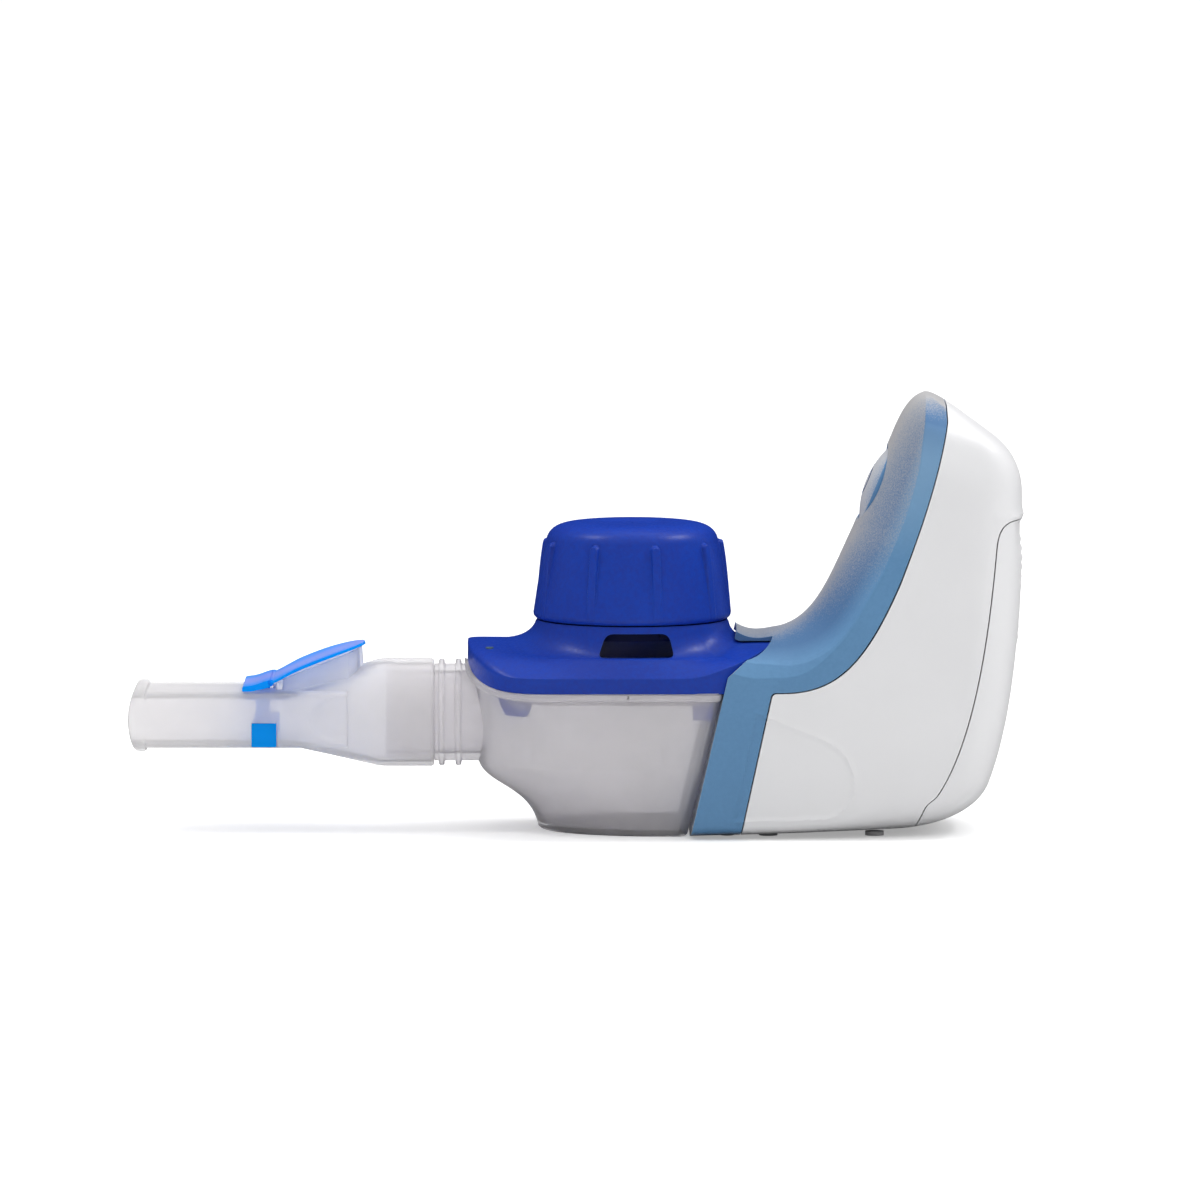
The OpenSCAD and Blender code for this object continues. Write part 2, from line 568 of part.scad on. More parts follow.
module mouthpiece() color("gainsboro") {
    xs = [-58.2, -62, -66, -70, -74, -78, -82, -86, -92, -100, -106, -112, -115.4];
    difference() {
        union() {
            ring_loft(concat(
                [for (x = xs) mouth_ring(x)],
                [mouth_ring(-115.8, 0.9), mouth_ring(tip_x + 0.3, 0.9), mouth_ring(tip_x, 0.3),
                    mouth_ring(tip_x, -clear_wall)],
                [for (i = [len(xs) - 1:-1:0]) mouth_ring(xs[i], -clear_wall)]));
            along_x(-58.3, socket_x, socket_r, 0, port_z);
            intersection() {
                tower_block(0, port_z);
                below_flap(0.1);
            }
        }
        tower_block(clear_wall, tube_cz);
        along_x(-58.2, socket_x + 1, spigot_r + slip, 0, port_z);
        along_x(-60, socket_x, 9.4, 0, port_z);
        translate([anchor_box[0] - 0.05, -20, anchor_box[2] - 0.05])
            cube([anchor_box[1] - anchor_box[0] + 0.1, 40, anchor_box[3] - anchor_box[2] + 0.1]);
        translate([-89.05, -3.05, 28]) cube([4.1, 6.1, 8]);
    }
}
module valve_anchor() color("dodgerblue") {
    translate([anchor_box[0], -tip_half_w + 0.1, anchor_box[2]])
        cube([anchor_box[1] - anchor_box[0], 2 * tip_half_w - 0.2, anchor_box[3] - anchor_box[2]]);
    difference() {
        union() {
            translate([-89, -3, 25]) cube([3.3, 6, 9]);
            across([[-91.9, 33.55], [-85.2, 33.55], [-84.6, 34.6], [-85.2, 36.1], [-91.9, 34.5]],
                flap_half_w);
        }
        crease(crease_r + slip, 15);
        at_flap() translate([0, -15, -flap_t / 2 - slip]) cube([10, 30, 6]);
    }
}
module valve_flap() color("dodgerblue") {
    at_flap() translate([0, 0, -flap_t / 2]) linear_extrude(flap_t) intersection() {
        translate([0, -flap_half_w]) square([flap_len, 2 * flap_half_w]);
        union() {
            translate([0, -flap_half_w]) square([flap_len - flap_half_w, 2 * flap_half_w]);
            translate([flap_len - flap_half_w, 0]) circle(r = flap_half_w);
        }
    }
    crease(crease_r, flap_half_w - 0.2);
}

handle_housing();
front_cover();
battery_door();
power_button();
circuit_board();
tactile_switch();
drive_coil();
battery_cradle();
battery_cells();
cell_contacts();
contact_pins();
cover_screws();
rubber_feet();
lid();
vent_plug();
reservoir();
mesh_seal();
piezo_ring();
mesh_plate();
mesh_retainer();
contact_pads();
cap();
cap_seal();
chamber();
chamber_gasket();
mouthpiece();
valve_anchor();
valve_flap();
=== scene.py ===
"""Looks for the handheld mesh nebulizer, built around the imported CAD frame."""
import json
import math

import bmesh
import bpy
import numpy as np
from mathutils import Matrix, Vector


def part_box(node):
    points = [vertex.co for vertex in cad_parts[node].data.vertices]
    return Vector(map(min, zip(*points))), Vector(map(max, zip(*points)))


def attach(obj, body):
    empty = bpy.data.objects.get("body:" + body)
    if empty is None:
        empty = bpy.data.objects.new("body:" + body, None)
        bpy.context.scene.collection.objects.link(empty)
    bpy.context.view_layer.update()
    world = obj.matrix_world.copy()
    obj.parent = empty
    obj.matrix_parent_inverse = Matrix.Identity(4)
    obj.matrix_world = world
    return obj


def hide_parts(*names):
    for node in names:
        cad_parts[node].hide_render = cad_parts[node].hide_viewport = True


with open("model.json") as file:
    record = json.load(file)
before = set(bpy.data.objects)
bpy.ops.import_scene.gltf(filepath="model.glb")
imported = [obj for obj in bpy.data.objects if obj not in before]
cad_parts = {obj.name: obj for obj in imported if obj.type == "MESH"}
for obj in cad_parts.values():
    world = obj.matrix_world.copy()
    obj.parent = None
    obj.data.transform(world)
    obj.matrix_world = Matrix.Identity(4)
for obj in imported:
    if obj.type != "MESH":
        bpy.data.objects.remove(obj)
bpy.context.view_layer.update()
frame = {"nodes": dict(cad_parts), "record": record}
MM = 0.001


def box_mm(node):
    """Lowest and highest corner of a CAD node in millimetres."""
    low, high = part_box(node)
    return np.array(low) / MM, np.array(high) / MM


# ---- mesh helpers
def mix(a, b, t):
    """Value at share t of the way from a to b."""
    return a + (b - a) * t


def cubic(a, b, c, d, t):
    """Cubic curve at t, with end points a, d and handles b, c."""
    return (1 - t) ** 3 * a + 3 * (1 - t) ** 2 * t * b + 3 * (1 - t) * t ** 2 * c + t ** 3 * d


def curve_at(a, b, c, d, t):
    """The cubic curve for points given as tuples."""
    return cubic(*(np.asarray(p, float) for p in (a, b, c, d)), t)


def bezier(a, b, c, d, n):
    """n points along a cubic curve, both ends included."""
    return curve_at(a, b, c, d, np.linspace(0, 1, n)[:, None])


def soften(values, sigma):
    """Gaussian smoothing along the first axis that keeps the two ends in place."""
    values = np.asarray(values, float)
    reach = int(3 * sigma)
    kernel = np.exp(-0.5 * (np.arange(-reach, reach + 1) / sigma) ** 2)
    kernel /= kernel.sum()
    flat = values.reshape(len(values), -1)
    head = 2 * flat[0] - flat[reach:0:-1]
    tail = 2 * flat[-1] - flat[-2:-reach - 2:-1]
    padded = np.vstack([head, flat, tail])
    done = np.stack([np.convolve(padded[:, k], kernel, "valid") for k in range(flat.shape[1])], 1)
    return done.reshape(values.shape)


def smoothstep(x):
    """0 below 0, 1 above 1 and a soft S between."""
    x = np.clip(x, 0, 1)
    return x * x * (3 - 2 * x)


def new_object(name, points, faces):
    """Mesh object from points in millimetres."""
    mesh = bpy.data.meshes.new(name)
    mesh.from_pydata([tuple(p) for p in np.asarray(points) * MM], [], faces)
    mesh.validate()
    mesh.update()
    obj = bpy.data.objects.new(name, mesh)
    bpy.context.scene.collection.objects.link(obj)
    return obj


def loft(name, rings, closed=False):
    """Closed solid through rings of equal length; with closed=True the last ring meets the first."""
    rings = np.asarray(rings, float)
    m, n = rings.shape[:2]
    faces = []
    for i in range(m if closed else m - 1):
        k = (i + 1) % m
        for j in range(n):
            jj = (j + 1) % n
            faces.append((i * n + j, i * n + jj, k * n + jj, k * n + j))
    if not closed:
        faces.append(tuple(range(n - 1, -1, -1)))
        faces.append(tuple(range((m - 1) * n, m * n)))
    obj = new_object(name, rings.reshape(-1, 3), faces)
    outward(obj)
    return obj


def outward(obj):
    """Turns all faces of a closed mesh outwards."""
    bm = bmesh.new()
    bm.from_mesh(obj.data)
    bmesh.ops.recalc_face_normals(bm, faces=bm.faces)
    if bm.calc_volume(signed=True) < 0:
        bmesh.ops.reverse_faces(bm, faces=bm.faces)
    bm.to_mesh(obj.data)
    bm.free()


def across(name, outline, half=100.0, y=0.0):
    """Prism across Y from an outline in X and Z."""
    outline = np.asarray(outline, float)
    rings = [[(x, y + s * half, z) for x, z in outline] for s in (-1, 1)]
    return loft(name, rings)


def upright(name, outline, z0, z1):
    """Prism along Z from an outline in X and Y."""
    return loft(name, [[(x, y, z) for x, y in outline] for z in (z0, z1)])


def lathe(name, profile, steps=160, axis="Z", at=(0, 0, 0)):
    """Body of revolution about the Z or X line through a point, from (radius, height) pairs."""
    rings = []
    for a in np.arange(steps) * 2 * math.pi / steps:
        ring = []
        for r, h in profile:
            x, y = r * math.cos(a), r * math.sin(a)
            ring.append(np.add((h, x, y) if axis == "X" else (x, y, h), at))
        rings.append(ring)
    return loft(name, rings, closed=True)


def rod(name, a, b, radius, steps=96):
    """Plain round bar between two points."""
    a, b = Vector(a), Vector(b)
    turn = (b - a).to_track_quat("Z", "Y")
    rings = []
    for p in (a, b):
        rings.append([tuple(p + turn @ Vector((radius * math.cos(u), radius * math.sin(u), 0)))
                      for u in np.arange(steps) * 2 * math.pi / steps])
    return loft(name, rings)


def combine(obj, others, operation="DIFFERENCE"):
    """Boolean of obj with each of the others, which are used up."""
    for other in others:
        mod = obj.modifiers.new("bool", "BOOLEAN")
        mod.operation = operation
        mod.solver = "MANIFOLD"
        mod.object = other
        depsgraph = bpy.context.evaluated_depsgraph_get()
        mesh = bpy.data.meshes.new_from_object(obj.evaluated_get(depsgraph))
        obj.modifiers.clear()
        old = obj.data
        obj.data = mesh
        bpy.data.meshes.remove(old)
        bpy.data.objects.remove(other)
    return obj


def finish_piece(obj, body, look, cad_node, angle):
    """Smooth shading up to the angle, material, body, and the CAD node that the piece stands for."""
    obj.data.shade_smooth()
    obj.data.set_sharp_from_angle(angle=math.radians(angle))
    obj.data.materials.clear()
    obj.data.materials.append(mats[look])
    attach(obj, body)
    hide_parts(cad_node)


def corner(p, q, r, reach, n):
    """Short curve that replaces the corner q between p and r."""
    p, q, r = (np.asarray(v, float) for v in (p, q, r))
    a = q + (p - q) / np.linalg.norm(p - q) * min(reach, 0.48 * np.linalg.norm(p - q))
    b = q + (r - q) / np.linalg.norm(r - q) * min(reach, 0.48 * np.linalg.norm(r - q))
    t = np.linspace(0, 1, n)[:, None]
    return (1 - t) ** 2 * a + 2 * (1 - t) * t * q + t ** 2 * b


def rounded(points, reach, n):
    """Closed outline with every corner rounded; reach is one number or one per point."""
    m = len(points)
    reach = [reach] * m if np.isscalar(reach) else reach
    return np.vstack([corner(points[k - 1], points[k], points[(k + 1) % m], reach[k], n)
                      for k in range(m)])


def mirrored(half):
    """Closed outline from one half of it, whose ends lie on the middle line."""
    return np.vstack([half, half[-2:0:-1] * [1, -1]])


def run_length(line):
    """Distance along a line at each of its points."""
    return np.concatenate([[0], np.cumsum(np.linalg.norm(np.diff(line, axis=0), axis=1))])


def points_at(line, run, at):
    """Points of a line where the scale run reads at."""
    return np.stack([np.interp(at, run, values) for values in line.T], 1)


def even(line, step):
    """The same open line with points at even distances."""
    run = run_length(line)
    n = max(8, int(round(run[-1] / step)))
    return points_at(line, run, np.linspace(0, run[-1], n))


def outline_distance(points, line):
    """Distance from each point to a polyline in the plane."""
    best = np.full(len(points), 1e9)
    for a, b in zip(line[:-1], line[1:]):
        d = b - a
        u = np.clip(((points - a) @ d) / (d @ d), 0, 1)
        best = np.minimum(best, np.linalg.norm(points - a - u[:, None] * d, axis=1))
    return best


def inside(points, line):
    """True for the points inside a closed outline."""
    x, y = points[:, 0], points[:, 1]
    odd = np.zeros(len(points), bool)
    line = np.asarray(line, float)
    for (x0, y0), (x1, y1) in zip(line, np.roll(line, -1, 0)):
        if y0 == y1:
            continue
        cross = (y0 > y) != (y1 > y)
        odd ^= cross & (x < (x1 - x0) * (y - y0) / (y1 - y0) + x0)
    return odd


def keyed(values):
    """Smooth function of t in 0..1 through equally spaced values."""
    t = np.linspace(0, 1, 401)
    dense = soften(np.interp(t, np.linspace(0, 1, len(values)), values), 7)
    return lambda at: float(np.interp(at, t, dense))


# ---- handle form
lean = math.tan(math.radians(13.6))
face_foot = 13.2
half_w = box_mm("front_cover")[1][1]
handle_h = box_mm("front_cover")[1][2]
floor_z = box_mm("handle_housing")[0][2]


def face_x(z):
    """X of the sloped face that the head stands against."""
    return face_foot + z * lean


def along(pieces, t):
    """Point at t on a line of straight and cubic pieces, each given as its last t and its points."""
    first = 0
    for last, *points in pieces:
        if t < last or last == 1:
            break
        first = last
    u = (t - first) / (last - first)
    return curve_at(*points, u) if len(points) == 4 else mix(*(np.array(p) for p in points), u)


# Front and back lines of the handle in X and Z, from the pocket and the front foot to the top
front_pieces = [(0.3, (24.6, 48.0), (27.5, 46.2), (30, 46), (35, 47.6)),
                (0.6, (35, 47.6), (43.6, 50.6), (46.8, 60), (52.1, 71.4)),
                (0.84, (52.1, 71.4), (61.5, 93.9)),
                (1, (61.5, 93.9), (63.8, 99.5), (66.2, handle_h), (69.1, handle_h))]
back_pieces = [(0.36, (face_foot + 0.2, floor_z - 0.7), (62.0, floor_z + 0.5)),
               (0.52, (62, floor_z + 0.5), (72, floor_z + 0.8), (81.4, 4.6), (84.2, 11.2)),
               (0.8, (84.2, 11.2), (91.6, 30), (92.2, 62), (92, 79.7)),
               (0.9, (92, 79.7), (92, 85), (90.3, 89.1), (86.1, 92.4)),
               (1, (86.1, 92.4), (76.5, 99.6), (72, handle_h), (69.6, handle_h))]
# Along the handle, from the pocket to the top: share of the full width, and depths in mm of the
# domed face, the bevelled strip beside it and the rounding at the back
width_share = keyed([1, 1, 1, 1, 0.99, 0.975, 0.95, 0.91, 0.85, 0.72, 0.2])
dome_depth = keyed([5, 5, 5.2, 7, 8.8, 9.8, 10.4, 9.6, 7.8, 4.8, 0.15])
strip_depth = keyed([3.4, 3.4, 3.2, 2.6, 0.7, 0.34, 0.34, 0.34, 0.34, 0.3, 0.06])
back_depth = keyed([4, 4, 4.5, 7, 12, 15, 17, 17, 14, 6, 0.12])
dome_a = 15.0
dome_n, side_n, back_n = 44, 72, 44


def handle_ring(t, inset, fine):
    """Closed section of the handle at t: dome, bevel, side and rounded back; fine scales the point count."""
    f, b = along(front_pieces, t), along(back_pieces, t)
    length = np.linalg.norm(b - f)
    reach = length - 2 * inset
    w = width_share(t) * half_w - inset
    dd = min(dome_depth(t), 0.4 * reach)
    strip = min(strip_depth(t), 0.1 * reach)
    bd = min(back_depth(t), 0.45 * reach)
    yc = w - 0.62 * strip
    rise = math.sqrt(1 + (yc / dome_a) ** 2) - 1
    soft = min(0.16, 0.3 * strip)
    y = np.linspace(0, yc - soft, int(dome_n * fine))
    # Low down the face is flatter in the middle
    flatter = 1 - smoothstep((t - 0.24) / 0.2)
    dome = dd * mix((np.sqrt(1 + (y / dome_a) ** 2) - 1) / rise, (y / yc) ** 3.3, flatter)
    crest = np.stack([dome, y], 1)
    a0, a = crest[-1], np.array([dd, yc])
    c1 = np.array([dd + strip, w])
    e1 = np.array([reach - bd, w])
    parts = [crest[:-1], corner(a0, a, c1, soft, 5), corner(a, c1, e1, soft, 5)]
    start = parts[-1][-1]
    side = np.linspace(0, 1, int(side_n * fine) + 1)[1:-1, None]
    parts.append(start + (e1 - start) * side)
    u = np.linspace(0, 1, int(back_n * fine))
    ang = np.radians(90 * (0.5 * u ** 1.5 + 0.5 * (1 - (1 - u) ** 1.7)))
    back = [reach - bd * (1 - np.sin(ang) ** 0.7), w * np.clip(np.cos(ang), 0, 1) ** 0.7]
    parts.append(np.stack(back, 1))
    half = np.vstack(parts)
    half[-1, 1] = 0
    back_way = (b - f) / length
    f = f + back_way * inset
    depth, y = mirrored(half).T
    return np.stack([f[0] + back_way[0] * depth, y, f[1] + back_way[1] * depth], 1)


def handle_rings(inset=0.0, t0=0.0, t1=1.0, n=221, fine=1.0):
    return np.stack([handle_ring(t, inset, fine) for t in np.linspace(t0, t1, n)])


def pad_line():
    """Outline of the shallow pad on each side of the housing."""
    return np.vstack([[[29, 29.9]], bezier((32.5, 28.6), (38, 26.3), (43, 24.6), (46.6, 22.6), 12),
                      bezier((46.6, 22.6), (53.6, 18.8), (54.4, 7.4), (45.4, 5.1), 22)[1:],
                      [[28.6, 4.5], [24, 4.4]]])


def handle_points():
    """Rings of the whole handle with its small surface features pressed in."""
    rings = handle_rings()
    p = rings.reshape(-1, 3)
    x, y, z = p.T
    # Pad on each side: a fine raised line and a slightly lower field
    near = (np.abs(y) > 20) & (x < 58) & (z < 34)
    side_view = p[near][:, [0, 2]]
    line = pad_line()
    dist = outline_distance(side_view, line)
    signed = np.where(inside(side_view, line), -dist, dist)
    lowered, raised = 0.22, 0.32
    step = -lowered * (1 - smoothstep((signed + 0.9) / 1.4)) + raised * np.exp(-(signed / 0.5) ** 2)
    p[near, 1] += np.sign(p[near, 1]) * step
    # Small grip dent low on each side of the door
    dx, dz = x - 77.6, z - 9.2
    along, over = (dx * 0.83 + dz * 0.56) / 2.7, (dz * 0.83 - dx * 0.56) / 1.0
    pressed = 0.5 * np.clip(1 - along ** 2 - over ** 2, 0, 1) ** 0.7
    p[:, 1] -= np.where(np.abs(y) > 12, np.sign(y) * pressed, 0)
    # Lip of the housing above the door, and the shallow finger recess under it
    rear = x > 85
    recess = smoothstep((74.2 - z) / 0.4) * smoothstep((z - 64) / 6) * (1 - smoothstep((np.abs(y) - 14) / 5))
    lip = np.exp(-((z - 75.3) / 0.9) ** 2) * 0.4 - 0.5 * recess
    p[rear, 0] += lip[rear]
    # Rows of grip dots on the door
    dots_z, pitch = 44, 2.4
    dots = rear & (z > dots_z) & (z < 69.5) & (np.abs(y) < 11)
    cz = (z - dots_z) / pitch
    cy = y / pitch + 0.5 * (np.floor(cz) % 2)
    off = np.hypot((cz % 1) - 0.5, (cy % 1) - 0.5)
    p[dots, 0] += (0.35 * (1 - smoothstep((off - 0.12) / 0.22)))[dots]
    return rings


def cover_seam(gap):
    """Line between the cover and the housing in X and Z, moved towards the housing by gap."""
    bend = (62.6 + gap, 60.4 - gap)
    return np.vstack([[[25.3 + gap, -5], [25.3 + gap, 1]],
                      corner((25.3 + gap, 1), (32.6 + gap, 34.7 - gap), (40, 35.0 - gap), 1.0, 7),
                      bezier((35, 34.75 - gap), (47 + gap, 34.8 - gap), (54 + gap, 40.5 - gap), bend, 60),
                      bezier(bend, (66.6 + gap, 70.5), (71.5 + gap, 84), (73.8 + gap, 97.5), 60)[1:],
                      [[73.4 + gap, 110]]])


def door_seam(gap):
    """Line between the door and the housing in X and Z, moved towards the door by gap."""
    top, turn, low = 74.2 - gap, (85.5 + gap, 68.3), (71.4 + gap, 10)
    return np.vstack([[[95, 74.4 - gap], [89.6, top]],
                      bezier((89.3, top), (86.9 + gap, 73.6 - gap), (85.9 + gap, 72), turn, 16)[1:],
                      bezier(turn, (84 + gap, 52), (81 + gap, 24), low, 60)[1:],
                      corner(low, (69 + gap, 8), (66.4 + gap, 1.8), 0.8, 5),
                      [[66.4 + gap, 1.8], [66.4 + gap, -5]]])


def cover_side(gap):
    return across("cut_cover", np.vstack([[[-30, -5]], cover_seam(gap), [[-30, 110]]]))


def door_side(gap):
    return across("cut_door", np.vstack([door_seam(gap), [[110, -5], [110, 74.4 - gap]]]))


def hollow():
    """Room inside the handle shells, kept clear of the pocket's floor."""
    obj = loft("cut_hollow", handle_rings(shell_wall, 0.035, 0.955, 80, 0.3))
    return combine(obj, [box_solid("cut_front_block", (-40, -60, 31.6), (36, 60, 160))])


def box_solid(name, low, high):
    (x0, y0, z0), (x1, y1, z1) = low, high
    return upright(name, [(x0, y0), (x1, y0), (x1, y1), (x0, y1)], z0, z1)


seam = 0.25
shell_wall = 2.2
pin_ys = (-5, 0, 5)
pin_z = 39.5


def on_face(depth):
    """Point on the button's line, depth in front of its middle."""
    return button_at + face_out * depth


# ---- lid and chamber form
lid_low, lid_high = box_mm("lid")
rim_half_w = lid_high[1]
nose_reach = -lid_low[0]
neck_z = lid_high[2]
neck_r = 22.8
nose_r = 21.0
rear_x = 33.0
side_z = 34.4
nose_rise = 6.1
rim_h = 3.6
flank = 0.42
lid_wall = 1.8


def crown(y):
    """1 at the middle, 0 at the side of the lid: how far the nose rises at y."""
    return (1 - np.minimum(np.abs(y) / rim_half_w, 1) ** 1.6) ** 1.6


def rim_z(x, y):
    """Height of the lid's lower rim."""
    return side_z + nose_rise * crown(y) * (np.asarray(x) < 0)


def quarter(a, b, p, n):
    """Quarter of a superellipse with half axes a, b and power p."""
    t = np.linspace(0, math.pi / 2, n)
    return np.stack([a * np.clip(np.cos(t), 0, 1) ** (2 / p), b * np.sin(t) ** (2 / p)], 1)


def lid_outline(d=0.0, step=0.55):
    """Lid outline from above, inset by d, starting at the nose."""
    nose = quarter(nose_r - d, rim_half_w - d, 2.5, 400) * [-1, 1] + [nose_r - nose_reach, 0]
    rear = (quarter(rear_x - 5 - d, rim_half_w - d, 4, 400) + [5, 0])[::-1]
    return mirrored(even(np.vstack([nose, rear]), step)) * [1, -1]


def lid_surface(p, q):
    """Height of the lid's upper side at q, from the neck (0) to the rim (1), towards outline point p."""
    g = crown(p[1])
    behind = smoothstep((p[0] - 8) / 14)
    front = side_z + nose_rise * g + rim_h
    rear = side_z + rim_h + 7.1 * (1 - min(abs(p[1]) / rim_half_w, 1) ** 5) ** 0.6
    shoulder = mix(42.2 + 3.0 * g, max(42.2, rear), behind)
    edge = mix(front, rear, behind)
    if q < flank:
        u = (q / flank) ** 0.6
        return cubic(neck_z, mix(neck_z, shoulder, 0.55), shoulder + 0.3, shoulder, u)
    u = (q - flank) / (1 - flank)
    k = 1.04 + 5.96 * g
    return edge + (shoulder - edge) * (1 - u ** k) ** (1 / k)


face_gap = 0.4
nose_bend, bend_z = 0.45, 16.5
# Nose line of the chamber in X and Z, from the rim to the base
nose_pieces = [(nose_bend, (-nose_reach, side_z + nose_rise), (-36.4, bend_z)),
               (1, (-36.4, bend_z), (-35.6, 10.6), (-24, 10.6), (-22.1, 0))]


def chamber_ring(t, d=0.0, lift=0.0):
    """Level ring of the chamber at t, from the rim (0) to the base (1), inset by d."""
    nose = along(nose_pieces, t)
    z = nose[1] + lift
    upper = min(t / nose_bend, 1)
    deep = smoothstep(upper) * 0.5 + upper * 0.5
    low = max((bend_z - nose[1]) / bend_z, 0)
    low = mix(low, smoothstep(low), 0.5)
    xc = mix(nose_r - nose_reach, mix(-12, 8, low), deep)
    w = mix(mix(rim_half_w, 26.6, deep), 21.4, low) - d
    p = mix(2.5, 2.1, deep)
    xr = face_x(z) - face_gap - max(min(d, 1.9), 0)
    rc = 2.5
    n = 60
    front = quarter(xc - nose[0] - d, w, p, n) * [-1, 1] + [xc, 0]
    front = even(front, (xc - nose[0] + w) / n)[:70]
    front = points_at(front, np.arange(len(front)), np.linspace(0, len(front) - 1, n))
    side = np.stack([np.linspace(xc, xr - rc, 30)[1:-1], np.full(28, w)], 1)
    a = np.linspace(0, math.pi / 2, 12)
    turn = np.stack([xr - rc * (1 - np.sin(a)), w - rc * (1 - np.cos(a))], 1)
    back = np.stack([np.full(12, xr), np.linspace(w - rc, 0, 13)[1:]], 1)
    both = mirrored(np.vstack([front, side, turn, back]))
    top = rim_z(both[:, 0], both[:, 1]) - 0.22
    zz = mix(z, top + lift, 1 - upper)
    x = both[:, 0] + np.where(both[:, 0] > 0, (zz - z) * lean, 0)
    return np.stack([x, -both[:, 1], zz], 1)


# ---- mouthpiece form
mouth_low, mouth_high = box_mm("mouthpiece")
tip_x = mouth_low[0]
socket_x = mouth_high[0]
port_z = 27.4
spigot_r = 11.0
socket_r = 12.77
tip_half_w = 13.5
tip_h = 13.4
tube_cz = 26.7
wall = 1.5


def flare(u):
    """Straight ramp from 0 to 1 with short soft ends."""
    c = min(max(u, 0), 1)
    e = 0.12
    if c < e:
        return c * c / (2 * e * (1 - e))
    if c > 1 - e:
        return 1 - (1 - c) ** 2 / (2 * e * (1 - e))
    return (c - e / 2) / (1 - e)


def mouth_ring(x, grow=0.0, start_w=tip_half_w, square=2 / 7.5, flat=False):
    """Section of the mouthpiece at x: the flat tube, or the cone that flares to the round socket."""
    k = 0 if flat else flare((x + 82.6) / 24.4)
    w = mix(start_w, socket_r - 0.02, k) + min(grow, 0)
    h = mix(tip_h / 2, socket_r - 0.02, k) + grow
    cz = mix(tube_cz, port_z, k)
    e = mix(square, 1, k)
    quarter_n = 360
    a = np.linspace(0, 2 * math.pi, 4 * quarter_n + 1)
    c, s = np.cos(a), np.sin(a)
    loop = np.stack([w * np.sign(c) * np.abs(c) ** e, h * np.sign(s) * np.abs(s) ** e], 1)[:-1]
    # Even spacing per quarter keeps the corners sharp and the loops aligned
    quads = []
    for i in range(4):
        part = np.vstack([loop, loop[:1]])[quarter_n * i:quarter_n * (i + 1) + 1]
        run = run_length(part)
        quads.append(points_at(part, run, np.linspace(0, run[-1], 40, endpoint=False)))
    loop = np.vstack(quads)
    near_tip = max(0, (-100 - x) / 18)
    return np.stack([x + near_tip * loop[:, 1] ** 2 / 38, -loop[:, 0], cz + loop[:, 1]], 1)


# ---- materials
def node_tree(name):
    mat = bpy.data.materials.new(name)
    mat.use_nodes = True
    tree = mat.node_tree
    tree.nodes.clear()
    return mat, tree


def wire(tree, value, socket):
    """Feeds a socket with a number, a colour or the output of another node."""
    if isinstance(value, (int, float)):
        socket.default_value = value
    elif isinstance(value, tuple):
        socket.default_value = (*value, 1)
    else:
        tree.links.new(value, socket)


def node(tree, kind, **inputs):
    """New node with its inputs fed; an underscore in an input's name stands for a space."""
    made = tree.nodes.new("ShaderNode" + kind)
    for key, value in inputs.items():
        wire(tree, value, made.inputs[key.replace("_", " ")])
    return made


def position(tree, kind="Object"):
    """X, Y and Z of the shaded point: metres, or the view direction for the world."""
    split = node(tree, "SeparateXYZ")
    wire(tree, node(tree, "TexCoord").outputs[kind], split.inputs[0])
    return split.outputs


def noise(tree, scale, detail, rough=0.5):
    coord = node(tree, "TexCoord").outputs["Object"]
    return node(tree, "TexNoise", Scale=scale, Detail=detail, Roughness=rough, Vector=coord).outputs["Fac"]


def remap(tree, value, low, high, from_low=0.3, from_high=0.7, kind="LINEAR"):
    """The value's range from_low..from_high turned into low..high."""
    made = node(tree, "MapRange", From_Min=from_low, From_Max=from_high, To_Min=low, To_Max=high, Value=value)
    made.interpolation_type = kind
    return made.outputs["Result"]


def blend(tree, factor, a, b):
    """Colour a turning to colour b."""
    made = node(tree, "Mix")
    made.data_type = "RGBA"
    for key, value in (("A", a), ("B", b), ("Factor", factor)):
        wire(tree, value, made.inputs[key])
    return made.outputs["Result"]


def mix_shader(tree, share, a, b):
    """Shader node a turning to shader node b."""
    made = node(tree, "MixShader")
    for k, value in enumerate((share, a.outputs[0], b.outputs[0])):
        wire(tree, value, made.inputs[k])
    return made


def finish_material(tree, shader):
    wire(tree, shader.outputs[0], node(tree, "OutputMaterial").inputs[0])


def math_node(tree, operation, a, b=0.0, clamp=False):
    made = node(tree, "Math")
    made.operation = operation
    made.use_clamp = clamp
    wire(tree, a, made.inputs[0])
    wire(tree, b, made.inputs[1])
    return made.outputs[0]


def product(tree, *values):
    """All the values multiplied."""
    total = values[0]
    for value in values[1:]:
        total = math_node(tree, "MULTIPLY", total, value)
    return total


def grain_normal(tree, grain, strength, distance, edge):
    """Fine moulded grain on top of softly rounded edges."""
    height = noise(tree, 1000 / grain, 2.5)
    bump = node(tree, "Bump", Strength=strength, Distance=distance * MM, Height=height)
    bevel = node(tree, "Bevel", Radius=edge * MM)
    bevel.samples = 4
    wire(tree, bevel.outputs["Normal"], bump.inputs["Normal"])
    return bump.outputs["Normal"]


def edge_mask(tree, radius, strength):
    """About 0 on smooth faces and up to 1 along sharp edges."""
    bevel = node(tree, "Bevel", Radius=radius * MM)
    bevel.samples = 6
    dot = node(tree, "VectorMath")
    dot.operation = "DOT_PRODUCT"
    wire(tree, bevel.outputs["Normal"], dot.inputs[0])
    wire(tree, node(tree, "NewGeometry").outputs["Normal"], dot.inputs[1])
    bent = math_node(tree, "SUBTRACT", 1.0, dot.outputs["Value"], True)
    return math_node(tree, "MULTIPLY", bent, strength, True)


